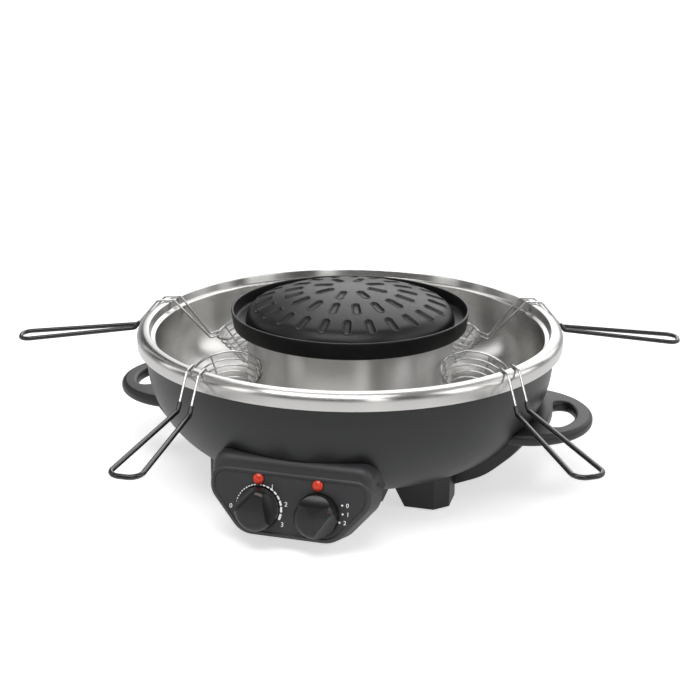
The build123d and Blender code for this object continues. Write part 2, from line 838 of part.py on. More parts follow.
def hotpot_reflector():
    dish = turned_sheet(
        ((stand_radius + 8, reflector_z), (reflector_radius, reflector_z),
         (reflector_radius + reflector_flare, reflector_z + 10)), 6.0, sheet, Side.RIGHT)
    for place in pin_places(element_radius) + pin_places(grill_element_radius):
        dish -= disc(5.0, 0, 100, place)
    return dish


def element_brackets():
    """Posts that carry the reflector, and clips on it that cradle the ring heater."""
    under = reflector_z - sheet
    post = disc(4.0, bowl_floor_z, under - bowl_floor_z, (88, 0))
    clip = box_between((element_radius - 7, -4, reflector_z), (element_radius + 7, 4, hotpot_element_z()))
    clip -= Pos(0, 0, hotpot_element_z()) * Torus(element_radius, element_tube)
    pieces = []
    for angle in bracket_angles:
        pieces.append(Rot(0, 0, angle) * post)
        pieces.append(Rot(0, 0, angle) * clip)
    return pieces


def grill_element_stand():
    arm_top = grill_element_z - element_tube
    stand = disc(stand_flange_radius, bowl_floor_z, 1.5)
    stand += disc(stand_radius, bowl_floor_z, arm_top - bowl_floor_z)
    stand += disc(stand_radius + 7, grill_reflector_z - 3, 3)
    arm = box_between((0, -4, arm_top - 6), (grill_element_radius + 6, 4, arm_top))
    for angle in (0, 90, 180):
        stand += Rot(0, 0, angle) * arm
    return stand - disc(stand_radius - 1.5, 0, arm_top - 3)


def grill_reflector():
    low = grill_reflector_z + sheet
    dish = turned_sheet(
        ((stand_radius + 0.1, low), (80, low), (90, low + 8)), 6.0, sheet, Side.RIGHT)
    for place in pin_places(grill_element_radius):
        dish -= disc(4.0, 0, 200, place)
    return dish


def terminal_block():
    block = box_between((-16, -92, bowl_floor_z), (16, -74, bowl_floor_z + 11))
    for x in (-10, 0, 10):
        block -= Pos(x, -83, bowl_floor_z + 8) * Box(6, 12, 7)
    return block


def thermal_cutout():
    """A sensor on a post, just under the pot's floor."""
    x, y, _ = polar(column_radius + 10, 90)
    top = pot_floor_z - pot_wall - seat_gap
    return disc(3.0, reflector_z, top - reflector_z, (x, y)) + disc(7.5, top - 8, 8, (x, y))


# ---- Assembly ----

def write_part(name, shape):
    if isinstance(shape, (list, tuple)):
        solids = [solid for piece in shape for solid in piece.solids()]
        shape = Compound(children=solids)
    export_step(shape, os.path.join("parts", name + ".step"))


def root_parts():
    parts = {
        "outer_bowl": outer_bowl(),
        "bottom_plate": bottom_plate(),
        "bottom_plate_screws": bottom_plate_screws(),
    }
    for corner, shape in on_four_corners(foot()).items():
        parts["foot_" + corner] = shape
    parts["foot_pads"] = list(on_four_corners(foot_pad()).values())
    parts["foot_screws"] = list(on_four_corners(foot_screw()).values())
    ear = ear_handle()
    parts["ear_handle_right"] = ear
    parts["ear_handle_left"] = mirrored_x(ear)
    parts["ear_screws"] = ear_screws()
    parts["control_housing"] = control_housing()
    parts["control_fascia"] = panel_fascia()
    parts["thermostat"] = on_panel(-knob_offset, knob_height_on_panel, thermostat())
    parts["selector_switch"] = on_panel(knob_offset, knob_height_on_panel, selector_switch())
    lens, bulb = lamp_lens(), lamp_bulb()
    parts["lamp_lens_left"] = on_panel(lamp_offsets[0], lamp_height_on_panel, lens)
    parts["lamp_lens_right"] = on_panel(lamp_offsets[1], lamp_height_on_panel, lens)
    parts["lamp_bulbs"] = [on_panel(u, lamp_height_on_panel, bulb) for u in lamp_offsets]
    parts["power_inlet"] = power_inlet()
    parts["inlet_pins"] = inlet_pins()
    parts["hotpot_element"] = hotpot_element()
    parts["hotpot_reflector"] = hotpot_reflector()
    parts["element_brackets"] = element_brackets()
    parts["grill_element"] = grill_element()
    parts["grill_element_stand"] = grill_element_stand()
    parts["grill_reflector"] = grill_reflector()
    parts["terminal_block"] = terminal_block()
    parts["thermal_cutout"] = thermal_cutout()
    return parts


def lift_off_parts():
    parts = {
        "inner_pot": inner_pot(),
        "centre_column": centre_column(),
        "grill_plate": grill_plate(),
    }
    cage = basket_cage()
    for name, angle, skew, reach, fall in baskets:
        place = basket_place(angle, skew)
        parts["basket_" + name + "_cage"] = place * cage
        parts["basket_" + name + "_handle"] = place * basket_handle(skew, reach, fall)
        parts["basket_" + name + "_grip"] = place * basket_grip(skew, reach, fall)
    return parts


def knob_parts():
    parts = {}
    knob_shape, shaft, pointer = knob(), knob_shaft(), knob_pointer()
    for side, name, angle in ((-1, "left", left_pointer_angle), (1, "right", right_pointer_angle)):
        turn = Rot(0, 0, angle)
        place = panel_plane * Pos(side * knob_offset, knob_height_on_panel, 0) * turn
        parts["knob_" + name] = place * knob_shape
        parts["knob_" + name + "_shaft"] = place * shaft
        parts["knob_" + name + "_pointer"] = place * pointer
    return parts


def main():
    os.makedirs("parts", exist_ok=True)
    for group in (root_parts(), lift_off_parts(), knob_parts()):
        for name, shape in group.items():
            write_part(name, shape)


if __name__ == "__main__":
    main()
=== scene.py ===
# %% [markdown]
# # An electric table cooker with a hot pot trough and a grill plate
#
# The object is a wide steel bowl on four feet. A stainless pot with a tall centre column
# sits in it, a cast grill plate covers the column, and four wire baskets hang in the
# trough. The exact frame of the parts is loaded first. Most of what the eye sees is then
# modelled again with smooth surfaces, because the loaded parts are made of flat
# triangles. The object's lengths are written in millimetres, and MM turns them to metres.
# Only the floor and the lamps of the studio are written in metres.

# %% Load the frame
import math

import bpy
from mathutils import Euler, Matrix, Vector


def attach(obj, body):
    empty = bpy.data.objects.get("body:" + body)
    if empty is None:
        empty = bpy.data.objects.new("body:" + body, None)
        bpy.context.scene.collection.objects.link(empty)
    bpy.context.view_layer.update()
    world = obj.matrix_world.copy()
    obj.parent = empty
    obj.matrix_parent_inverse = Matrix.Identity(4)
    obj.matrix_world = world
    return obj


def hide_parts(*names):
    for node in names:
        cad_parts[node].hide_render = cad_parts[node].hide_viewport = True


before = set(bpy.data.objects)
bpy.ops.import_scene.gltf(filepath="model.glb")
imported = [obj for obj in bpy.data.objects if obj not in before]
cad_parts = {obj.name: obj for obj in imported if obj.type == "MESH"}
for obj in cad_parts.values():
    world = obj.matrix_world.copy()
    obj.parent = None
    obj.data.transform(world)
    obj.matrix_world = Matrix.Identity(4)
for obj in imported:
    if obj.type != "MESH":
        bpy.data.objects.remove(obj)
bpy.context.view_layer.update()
MM = 0.001

# %% [markdown]
# ## Camera
#
# The camera stands in front of the control panel, a little to the right, and looks down
# at the pot by about nineteen degrees. It could be placed by eye, but a distance, a height
# and an angle are easier to understand and to change. A long lens keeps the round rim
# from looking stretched.

# %% Camera
CAMERA_TURN = 15.2          # degrees round the pot, from the panel towards the right ear
CAMERA_DISTANCE = 1192.7    # level distance from the pot's axis
CAMERA_HEIGHT = 516.4
CAMERA_TILT = 18.606        # degrees below the horizon
CAMERA_ROLL = 0.007         # radians
LENS_MM = 67.83

camera_data = bpy.data.cameras.new("camera")
camera_data.lens = LENS_MM
camera_data.sensor_width = 36.0
camera = bpy.data.objects.new("camera", camera_data)
bpy.context.scene.collection.objects.link(camera)
turn = math.radians(CAMERA_TURN)
camera.location = (
    CAMERA_DISTANCE * math.sin(turn) * MM,
    -CAMERA_DISTANCE * math.cos(turn) * MM,
    CAMERA_HEIGHT * MM,
)
look = Euler((math.radians(90 - CAMERA_TILT), 0, turn)).to_matrix()
camera.rotation_euler = (look @ Matrix.Rotation(CAMERA_ROLL, 3, "Z")).to_euler()
bpy.context.scene.camera = camera
print("camera at", [round(v, 3) for v in camera.location])

# %% [markdown]
# ## Small helpers
#
# A modelling operator works on whatever is selected, so every step starts from an empty
# selection. Four helpers cover most of the shapes here. One rounds the bends of a line, one
# gives a thin profile its thickness, and one turns a profile round the Z axis the way a
# potter pulls up a wall: a circle is drawn, extruded and scaled, again and again. The
# fourth joins two solids, or takes one away from the other.

# %% Selection and finishing helpers
def clear_selection():
    if bpy.context.mode != "OBJECT":
        bpy.ops.object.mode_set(mode="OBJECT")
    bpy.ops.object.select_all(action="DESELECT")


def select_only(*objects):
    clear_selection()
    for obj in objects:
        obj.select_set(True)
    bpy.context.view_layer.objects.active = objects[0]


def apply_place(obj):
    select_only(obj)
    bpy.ops.object.transform_apply(location=True, rotation=True, scale=True)


def smooth(obj, angle=30.0):
    select_only(obj)
    bpy.ops.object.shade_smooth_by_angle(angle=math.radians(angle))


def open_edit():
    bpy.ops.object.mode_set(mode="EDIT")


def leave_edit():
    bpy.ops.object.mode_set(mode="OBJECT")


def edit_all(obj):
    """Opens one mesh for editing, with all of it selected."""
    select_only(obj)
    open_edit()
    bpy.ops.mesh.select_mode(type="VERT")
    bpy.ops.mesh.select_all(action="SELECT")


def tidy_mesh(obj, reach=0.01):
    """Merges points that are within reach of each other and turns every face outwards."""
    edit_all(obj)
    bpy.ops.mesh.remove_doubles(threshold=reach * MM)
    bpy.ops.mesh.normals_make_consistent(inside=False)
    leave_edit()


def close_ends(obj):
    """Puts a face on every open loop, such as the tiny hole left at a turned shape's pole."""
    edit_all(obj)
    bpy.ops.mesh.select_all(action="DESELECT")
    bpy.ops.mesh.select_non_manifold()
    bpy.ops.mesh.fill_holes(sides=0)
    leave_edit()
    tidy_mesh(obj)


def join(name, objects):
    select_only(*objects)
    bpy.ops.object.join()
    joined = bpy.context.object
    joined.name = name
    joined.data.name = name
    return joined


def copy_of(obj):
    """A copy with its own mesh."""
    select_only(obj)
    bpy.ops.object.duplicate(linked=False)
    return bpy.context.object


def add_cylinder(radius, length):
    clear_selection()
    bpy.ops.mesh.primitive_cylinder_add(vertices=96, radius=radius * MM, depth=length * MM)
    return bpy.context.object


def apply_modifier(obj, kind, **settings):
    """Adds a modifier, sets it up and applies it."""
    select_only(obj)
    step = obj.modifiers.new(kind, kind)
    for name, value in settings.items():
        setattr(step, name, value)
    bpy.ops.object.modifier_apply(modifier=step.name)


def combine(obj, tool, operation):
    """Joins a second solid to the first, or takes it away, and uses it up."""
    apply_modifier(obj, "BOOLEAN", operation=operation, solver="EXACT", object=tool)
    bpy.data.objects.remove(tool)


def finish_piece(obj, name, body, slot, material, *nodes):
    """Names a piece, gives it its finish, and says what it rides on and stands for."""
    obj.name = name
    obj.data.name = name
    obj.data.materials.clear()
    obj.data.materials.append(material)
    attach(obj, body)
    if nodes:
        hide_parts(*nodes)
    print(name, len(obj.data.polygons), "faces on", body)


# %% Line and profile helpers
def rounded_path(points, radii, steps=8):
    """A line through space with its bends rounded, corner by corner."""
    line = [Vector(points[0])]
    for before, corner, after, radius in zip(points, points[1:], points[2:], radii):
        before, corner, after = Vector(before), Vector(corner), Vector(after)
        to_before, to_after = (before - corner).normalized(), (after - corner).normalized()
        between = to_before.angle(to_after)
        reach = radius / math.tan(between / 2)
        centre = corner + (to_before + to_after).normalized() * (radius / math.sin(between / 2))
        start, end = corner + to_before * reach - centre, corner + to_after * reach - centre
        bend = start.angle(end)
        for i in range(steps + 1):
            t = i / steps
            line.append(centre + start * (math.sin((1 - t) * bend) / math.sin(bend))
                        + end * (math.sin(t * bend) / math.sin(bend)))
    line.append(Vector(points[-1]))
    return line


def rounded(points, radii, steps=10):
    """The same for a flat line of (radius, height) points."""
    line = rounded_path([(x, y, 0) for x, y in points], radii, steps)
    return [(p.x, p.y) for p in line]


def with_thickness(line, thickness):
    """Closes a thin line into a wall: the line itself, then the same line moved to its left."""
    points = [Vector(p) for p in line]
    moved = []
    for i, point in enumerate(points):
        before = points[max(0, i - 1)]
        after = points[min(len(points) - 1, i + 1)]
        along = (after - before).normalized()
        moved.append(point + Vector((-along.y, along.x)) * thickness)
    return [(p.x, p.y) for p in points + moved[::-1]]


def turn_profile(profile, sides=192, closed=True):
    """Turns a profile of (radius, height) round the Z axis by extruding a circle."""
    clear_selection()
    radius, height = profile[0]
    bpy.ops.mesh.primitive_circle_add(
        vertices=sides, radius=radius * MM, location=(0, 0, height * MM), fill_type="NOTHING")
    obj = bpy.context.object
    apply_place(obj)
    edit_all(obj)
    loop = profile[1:] + [profile[0]] if closed else profile[1:]
    for next_radius, next_height in loop:
        rise = (0, 0, (next_height - height) * MM)
        grow = next_radius / radius
        bpy.ops.mesh.extrude_region_move(TRANSFORM_OT_translate={"value": rise})
        bpy.ops.transform.resize(value=(grow, grow, 1), center_override=(0, 0, 0))
        radius, height = next_radius, next_height
    leave_edit()
    tidy_mesh(obj)
    return obj


# %% [markdown]
# ## Finishes
#
# Each finish is built from what the real one is. A colour is written as the sRGB hex
# value that a colour picker would show, and one function turns it to the linear light
# that a shader works in. Another adds a node with its settings and links. The rest stand
# for one step of a finish each, such as a pattern, a change of gloss or a raised grain, so
# that a material reads like a short list of its steps.

# %% Material helpers
def colour(hex_text):
    """sRGB hex to linear RGBA."""
    channels = [int(hex_text[i:i + 2], 16) / 255 for i in (1, 3, 5)]
    linear = [c / 12.92 if c <= 0.04045 else ((c + 0.055) / 1.055) ** 2.4 for c in channels]
    return (*linear, 1.0)


def add_node(tree, kind, settings=None, inputs=None):
    """Adds a shader node; an input is either a value or another node's output."""
    made = tree.nodes.new("ShaderNode" + kind)
    for name, value in (settings or {}).items():
        setattr(made, name, value)
    for name, value in (inputs or {}).items():
        if isinstance(value, bpy.types.NodeSocket):
            tree.links.new(value, made.inputs[name])
        else:
            made.inputs[name].default_value = value
    return made


def new_material(name, **sockets):
    """A material with one Principled shader whose sockets are set by name."""
    material = bpy.data.materials.new(name)
    material.use_nodes = True
    shader = material.node_tree.nodes["Principled BSDF"]
    for socket, value in sockets.items():
        shader.inputs[socket.replace("_", " ")].default_value = value
    return material, material.node_tree


def feed(tree, socket, value):
    """Links a value to one of the Principled shader's sockets."""
    tree.links.new(value, tree.nodes["Principled BSDF"].inputs[socket])


def map_range(tree, value, source, target, interpolation="LINEAR"):
    """Carries a value from one range over to another."""
    made = add_node(tree, "MapRange", {"interpolation_type": interpolation}, {
        "Value": value, "From Min": source[0], "From Max": source[1],
        "To Min": target[0], "To Max": target[1]})
    return made.outputs["Result"]


def split_axes(tree, place):
    """The three axes of a place or a direction, and its level part."""
    axes = add_node(tree, "SeparateXYZ", inputs={0: place}).outputs
    level = add_node(tree, "CombineXYZ", inputs={"X": axes["X"], "Y": axes["Y"]})
    return axes, level.outputs[0]


def reckon(tree, operation, first, second):
    """One sum with two values."""
    made = add_node(tree, "Math", {"operation": operation}, {0: first, 1: second})
    return made.outputs[0]


def pattern(tree, kind, size_mm, **sockets):
    """A solid texture on the object's own coordinates. Its first output is its value."""
    place = add_node(tree, "TexCoord")
    made = add_node(tree, "Tex" + kind, inputs={
        "Vector": place.outputs["Object"], "Scale": 1 / (size_mm * MM), **sockets})
    return made.outputs[0]


def shades(hex_base, low, high):
    """A darker and a lighter shade of one colour."""
    base = colour(hex_base)[:3]
    return [tuple(min(1, c * factor) for c in base) + (1,) for factor in (low, high)]


def vary_tint(tree, value, low, high):
    tint = add_node(tree, "Mix", {"data_type": "RGBA"}, {"Factor": value, 6: low, 7: high})
    feed(tree, "Base Color", tint.outputs[2])


def vary_gloss(tree, value, low, high):
    feed(tree, "Roughness", map_range(tree, value, (0.0, 1.0), (low, high)))


def raise_grain(tree, value, strength, depth_mm):
    bump = add_node(tree, "Bump", inputs={
        "Height": value, "Strength": strength, "Distance": depth_mm * MM})
    feed(tree, "Normal", bump.outputs["Normal"])


# %% Families of finishes
def moulded_plastic(name, hex_base, roughness, grain_mm, depth_mm):
    """Black plastic from a textured mould: an even, fine pebble that breaks up the gloss."""
    material, tree = new_material(name, Roughness=roughness)
    grain = pattern(tree, "Noise", grain_mm, Detail=2.0)
    vary_tint(tree, pattern(tree, "Noise", 25.0, Detail=3.0), *shades(hex_base, 0.88, 1.12))
    vary_gloss(tree, grain, roughness - 0.05, roughness + 0.07)
    raise_grain(tree, grain, 0.35, depth_mm)
    return material


def spun_steel(name, hex_base, roughness, line_mm, anisotropy):
    """Stainless steel brushed on a lathe. The fine lines run round the axis, and they draw
    each reflection out at right angles to themselves, which is a quarter turn."""
    material, tree = new_material(
        name, Metallic=1.0, Roughness=roughness, Anisotropic=anisotropy,
        Anisotropic_Rotation=0.25)
    place = add_node(tree, "TexCoord")
    axes, level = split_axes(tree, place.outputs["Object"])
    radius = add_node(tree, "VectorMath", {"operation": "LENGTH"}, {0: level})
    angle = reckon(tree, "ARCTAN2", axes["Y"], axes["X"])
    round_place = add_node(tree, "CombineXYZ", inputs={
        "X": radius.outputs["Value"], "Y": reckon(tree, "MULTIPLY", angle, 4 * line_mm * MM),
        "Z": axes["Z"]})
    noise = add_node(tree, "TexNoise", inputs={
        "Vector": round_place.outputs[0], "Scale": 1 / (line_mm * MM), "Detail": 3.0,
        "Roughness": 0.65})
    lines = noise.outputs[0]
    vary_tint(tree, lines, *shades(hex_base, 0.97, 1.02))
    vary_gloss(tree, lines, roughness - 0.02, roughness + 0.03)
    raise_grain(tree, lines, 0.02, 0.02)
    tangent = add_node(tree, "Tangent", {"direction_type": "RADIAL", "axis": "Z"})
    feed(tree, "Tangent", tangent.outputs[0])
    return material


def rolled_metal(name, hex_base, roughness):
    """Sheet and bar straight from the mill: a cloudy, uneven gloss."""
    material, tree = new_material(
        name, Base_Color=colour(hex_base), Metallic=1.0, Roughness=roughness)
    cloud = pattern(tree, "Noise", 16.6667, Detail=5.0)
    vary_gloss(tree, cloud, roughness - 0.08, roughness + 0.12)
    return material


# %% [markdown]
# The bowl is steel with a stoved satin enamel. The grill plate is die-cast aluminium under
# a sprayed non-stick coat, which dries with a fine orange peel. The pot is stainless steel
# brushed on a lathe. Handles, feet and panel are ABS from a textured mould, and the basket
# grips were dipped in soft PVC, which leaves them smooth and glossy.

# %% Finishes of the large parts
pot_steel = spun_steel("spun stainless steel", "#c8c7c5", 0.24, 0.9, 0.90)
# The column's base colour is lighter than the pot's steel: painted brightness that lifts its
# reflections.
column_steel_painted_brighter = spun_steel("brushed stainless column painted brighter", "#e2e1df", 0.34, 0.6, 0.97)

bowl_enamel, tree = new_material(
    "satin stoved enamel", Base_Color=colour("#1b1c1d"), Roughness=0.40)
vary_gloss(tree, pattern(tree, "Noise", 71.4286, Detail=4.0), 0.36, 0.44)
raise_grain(tree, pattern(tree, "Noise", 1.4, Detail=2.0), 0.10, 0.05)

grill_coat, tree = new_material(
    "sprayed non-stick coat", Base_Color=colour("#101011"), Roughness=0.38,
    Specular_IOR_Level=0.32)
vary_gloss(tree, pattern(tree, "Voronoi", 1.6), 0.30, 0.46)
raise_grain(tree, pattern(tree, "Noise", 0.9, Detail=3.0, Roughness=0.6), 0.6, 0.10)

handle_plastic = moulded_plastic("moulded black ABS", "#1d1d1e", 0.42, 0.7, 0.06)
panel_plastic = moulded_plastic("moulded grey ABS", "#39393b", 0.44, 0.6, 0.05)
knob_plastic = moulded_plastic("smooth black ABS", "#202021", 0.34, 0.6, 0.02)

# %% Finishes of the small parts
wire_chrome, tree = new_material(
    "bright plated wire", Base_Color=colour("#c2c2c1"), Metallic=1.0, Roughness=0.18)
vary_gloss(tree, pattern(tree, "Noise", 3.0, Detail=2.0), 0.12, 0.26)

grip_pvc, tree = new_material(
    "dipped soft PVC", Base_Color=colour("#0e0e0f"), Roughness=0.26, Coat_Weight=0.3,
    Coat_Roughness=0.12)
raise_grain(tree, pattern(tree, "Noise", 6.0, Detail=1.0), 0.2, 0.2)

lamp_red, tree = new_material(
    "clear red acrylic", Base_Color=colour("#d22a14"), Roughness=0.12,
    Emission_Color=colour("#ff3a1c"), Emission_Strength=0.18)
facets = pattern(tree, "Voronoi", 2.2)
vary_tint(tree, facets, colour("#f0563a"), colour("#b01608"))
raise_grain(tree, facets, 0.5, 0.3)

rubber, tree = new_material("black rubber", Base_Color=colour("#151515"), Roughness=0.8)
vary_gloss(tree, pattern(tree, "Noise", 2.0, Detail=4.0), 0.7, 0.9)

# The print's emission is a painted glow: it lifts the ink above the brightness the lamps give it.
print_with_painted_glow = new_material(
    "white pad print with painted glow", Base_Color=colour("#f6f6f4"), Roughness=0.55,
    Emission_Color=colour("#ffffff"), Emission_Strength=0.25)[0]
mark_red = new_material("red inlay", Base_Color=colour("#d9301c"), Roughness=0.4)[0]
steatite = new_material("steatite ceramic", Base_Color=colour("#dcd6c8"), Roughness=0.6)[0]
bulb_glass = new_material("bulb glass", Base_Color=colour("#f0b090"), Roughness=0.1)[0]
heater_steel = rolled_metal("heat-tinted steel tube", "#5a5148", 0.45)
plated_sheet = rolled_metal("aluminised sheet", "#b9bcbf", 0.38)
screw_steel = rolled_metal("zinc plated screws", "#b5b7b6", 0.30)
contact_brass = rolled_metal("brass contacts", "#c9a45a", 0.30)
print("finishes", len(bpy.data.materials))

# %% [markdown]
# ## The bowl
#
# The outer bowl is a deep-drawn steel shell. A press forms its base, its large round
# corner and its straight wall in one stroke, so one profile turned round the axis gives
# the whole shape. The wall gets a real thickness, because its top edge can be seen when
# the pot is lifted out.

# %% Outer bowl
BOWL_RADIUS = 191.7
BOWL_CORNER = 95.0
BOWL_BASE = 21.7
BOWL_TOP = 142.5
BOWL_WALL = 1.2
SERVICE_HOLE = 62.0         # radius of the hole in the base, under the service plate
BOWL_SIDES = 224            # corners of the circles that the bowl and the pot are made of


def bowl_line(grow=0.0):
    """The bowl's outside from the hole in its base to its top edge."""
    side, base = BOWL_RADIUS + grow, BOWL_BASE - grow
    return rounded(
        [(SERVICE_HOLE, base), (side, base), (side, BOWL_TOP)], [BOWL_CORNER + grow], 40)


bowl = turn_profile(with_thickness(bowl_line(), BOWL_WALL), sides=BOWL_SIDES)
smooth(bowl)
finish_piece(bowl, "bowl_shell", "base", "bowl_paint", bowl_enamel, "outer_bowl")

# %% [markdown]
# ## The stainless pot
#
# The pot is spun from sheet. From the inside out it has a flat ring-shaped floor, a large
# corner, a straight wall, a step that a lid sits on, a flat rim and a rolled outer edge
# that hides the bowl's wall. The thin bright line at the bottom of the rim is the cut
# edge of the roll, so the profile ends there with its full thickness.

# %% Pot and centre column
RIM_HEIGHT = 143.5
RIM_RADIUS = 200.0
RIM_EDGE = 129.3            # height of the rolled rim's cut edge
POT_RADIUS = 183.0
POT_FLOOR = 60.0
POT_WALL = 1.0
LID_STEP = [(POT_RADIUS, 134.9), (187.2, 136.5), (188.6, RIM_HEIGHT)]
COLUMN_RADIUS = 97.5
COLUMN_TOP = 142.3

pot_line = rounded(
    [(COLUMN_RADIUS, POT_FLOOR), (POT_RADIUS, POT_FLOOR)] + LID_STEP
    + [(RIM_RADIUS, RIM_HEIGHT), (RIM_RADIUS, RIM_EDGE)], [50.0, 1.0, 0.6, 1.2, 7.0], 10)
pot = turn_profile(with_thickness(pot_line, -POT_WALL), sides=BOWL_SIDES)
smooth(pot, 40)
finish_piece(pot, "pot_shell", "pot", "stainless", pot_steel, "inner_pot")

column = turn_profile(with_thickness(
    [(COLUMN_RADIUS, POT_FLOOR - POT_WALL), (COLUMN_RADIUS, COLUMN_TOP)], POT_WALL))
smooth(column)
finish_piece(column, "column_shell", "pot", "stainless", column_steel_painted_brighter, "centre_column")

# %% [markdown]
# ## The grill plate
#
# The plate is a shallow dome in a gutter with a raised edge. Fat runs down the dome into
# the gutter. Fifty shallow pockets, set like the rays of a star, keep meat from sliding.
# Each pocket has a slightly raised lip. A pocket could be painted on with a bump map, but
# it is deep enough to cast a shadow, so it is real: its outline is cut out of the dome
# and a small dish with a lip closes the opening. One dish is modelled and copied, and
# each copy is laid on the dome's curve.

# %% The dome's curve
GUTTER = 145.5
DOME_RADIUS = 98.5
CROWN_HEIGHT = 178.5
CROWN_CURVE = 245.0
SHOULDER_CURVE = 18.0
SHOULDER_CENTRE = DOME_RADIUS - SHOULDER_CURVE
CROWN_STEPS, SHOULDER_STEPS = 26, 16

crown_centre = CROWN_HEIGHT - CROWN_CURVE
shoulder_height = crown_centre + math.sqrt(
    (CROWN_CURVE - SHOULDER_CURVE) ** 2 - SHOULDER_CENTRE ** 2)
shoulder_lean = math.atan2(SHOULDER_CENTRE, shoulder_height - crown_centre)


def dome_point(lean, inset=0.0):
    """A point of the dome's skin where it leans this far from level."""
    if lean <= shoulder_lean:
        curve = CROWN_CURVE - inset
        return (curve * math.sin(lean), crown_centre + curve * math.cos(lean))
    curve = SHOULDER_CURVE - inset
    return (SHOULDER_CENTRE + curve * math.sin(lean), shoulder_height + curve * math.cos(lean))


def dome_height(radius):
    if radius <= CROWN_CURVE * math.sin(shoulder_lean):
        return crown_centre + math.sqrt(CROWN_CURVE ** 2 - radius ** 2)
    out = radius - SHOULDER_CENTRE
    return shoulder_height + math.sqrt(max(0.0, SHOULDER_CURVE ** 2 - out ** 2))


def dome_skin(inset, foot):
    """The dome's outline, from near its pole over the shoulder down to the foot."""
    crown = [shoulder_lean * i / CROWN_STEPS for i in range(CROWN_STEPS + 1)]
    rest = math.pi / 2 - shoulder_lean
    shoulder = [shoulder_lean + rest * i / SHOULDER_STEPS for i in range(1, SHOULDER_STEPS + 1)]
    line = [dome_point(lean, inset) for lean in crown + shoulder]
    line[0] = (0.4, line[0][1])
    return line + [(DOME_RADIUS - inset, foot)]


# %% Plate body
PLATE_WALL = 3.2
EDGE_TOP = 158.1            # top of the gutter's raised edge
COLLAR_INSIDE = 93.7        # the collar under the plate that keeps it on the column
COLLAR_OUTSIDE = 96.2
COLLAR_TOP = 139.0
COLLAR_FOOT = 136.3

edge = rounded(
    [(COLLAR_OUTSIDE, COLUMN_TOP), (110.0, COLUMN_TOP), (112.2, EDGE_TOP), (109.9, EDGE_TOP),
     (109.2, GUTTER), (DOME_RADIUS, GUTTER)], [0.6, 0.9, 0.9, 3.0], 5)
collar = [(COLLAR_INSIDE, COLLAR_TOP), (COLLAR_INSIDE, COLLAR_FOOT), (COLLAR_OUTSIDE, COLLAR_FOOT)]
gutter_corner = [(DOME_RADIUS + 0.8, GUTTER), (DOME_RADIUS + 0.2, GUTTER + 0.2)]
under = dome_skin(PLATE_WALL, COLLAR_TOP)
over = dome_skin(0.0, GUTTER + 0.6)[::-1]
plate = turn_profile(under + collar + edge[:-1] + gutter_corner + over, closed=False)
close_ends(plate)

# %% One pocket
POCKET_LENGTH = 18.5
POCKET_WIDTH = 7.0
POCKET_ROWS = ((82.0, 25, -76.6), (54.0, 17, -68.7), (26.5, 8, -92.8))
POCKET_POINTS = 28
POCKET_MOUTH = 0.55         # the opening in the dome reaches this far past the outline
DISH_STEPS = (              # how far the outline grows, and its height over the dome
    (1.5, -0.30), (1.0, 0.12), (POCKET_MOUTH, 0.38), (0.1, 0.34), (-0.35, -0.05),
    (-0.75, -0.85), (-1.2, -1.35), (-2.0, -1.58), (-3.2, -1.62))


def pocket_outline(grow, height):
    """A slot-shaped loop of points round a pocket, longer than it is wide."""
    half_width = POCKET_WIDTH / 2 + grow
    half_run = (POCKET_LENGTH - POCKET_WIDTH) / 2
    points = []
    for i in range(POCKET_POINTS):
        angle = 2 * math.pi * (i + 0.5) / POCKET_POINTS
        shift = half_run if math.cos(angle) > 0 else -half_run
        points.append(Vector((
            shift + half_width * math.cos(angle), half_width * math.sin(angle), height)))
    return points


def pocket_loops(name, steps, fill):
    """A circle is pulled into the first loop's shape, then extruded from loop to loop."""
    loops = [pocket_outline(grow, height) for grow, height in steps]
    clear_selection()
    bpy.ops.mesh.primitive_circle_add(
        vertices=POCKET_POINTS, radius=POCKET_WIDTH / 2 * MM, fill_type=fill)
    obj = bpy.context.object
    obj.name = name
    for vertex, point in zip(obj.data.vertices, loops[0]):
        vertex.co = point * MM
    for loop in loops[1:]:
        open_edit()
        bpy.ops.mesh.extrude_region_move(TRANSFORM_OT_translate={"value": (0, 0, 0.1 * MM)})
        leave_edit()
        for vertex, point in zip(obj.data.vertices[-POCKET_POINTS:], loop):
            vertex.co = point * MM
    return obj


cutter_model = pocket_loops("cutter", [(POCKET_MOUTH, -2.3), (POCKET_MOUTH, 3.0)], "NGON")
tidy_mesh(cutter_model)
dish_model = pocket_loops("dish", DISH_STEPS, "NOTHING")
select_only(dish_model)
open_edit()
bpy.ops.mesh.edge_face_add()
leave_edit()
tidy_mesh(dish_model)


# %% Lay the pockets on the dome
def laid_on_dome(model, radius, angle):
    """A copy of a flat model, bent to the dome: its X runs outwards, its Z along the normal."""
    obj = copy_of(model)
    spin = Matrix.Rotation(math.radians(angle), 3, "Z")
    for vertex in obj.data.vertices:
        along, across, height = vertex.co / MM
        flat = spin @ Vector((radius + along, across, 0))
        reach = flat.length
        slope = (dome_height(reach + 0.05) - dome_height(reach - 0.05)) / 0.1
        outward = flat.normalized()
        normal = Vector((-slope * outward.x, -slope * outward.y, 1)).normalized()
        vertex.co = (Vector((flat.x, flat.y, dome_height(reach))) + normal * height) * MM
    return obj


cutters, dishes = [], []
for row_radius, count, first in POCKET_ROWS:
    for i in range(count):
        angle = first + 360 * i / count
        cutters.append(laid_on_dome(cutter_model, row_radius, angle))
        dishes.append(laid_on_dome(dish_model, row_radius, angle))
all_cutters = join("cutters", cutters)
dish_ring = join("dishes", dishes)
bpy.data.objects.remove(cutter_model)
bpy.data.objects.remove(dish_model)

combine(plate, all_cutters, "DIFFERENCE")
plate = join("grill_plate_body", [plate, dish_ring])
smooth(plate, 32)
finish_piece(plate, "grill_plate_body", "grill", "grill_coating", grill_coat, "grill_plate")

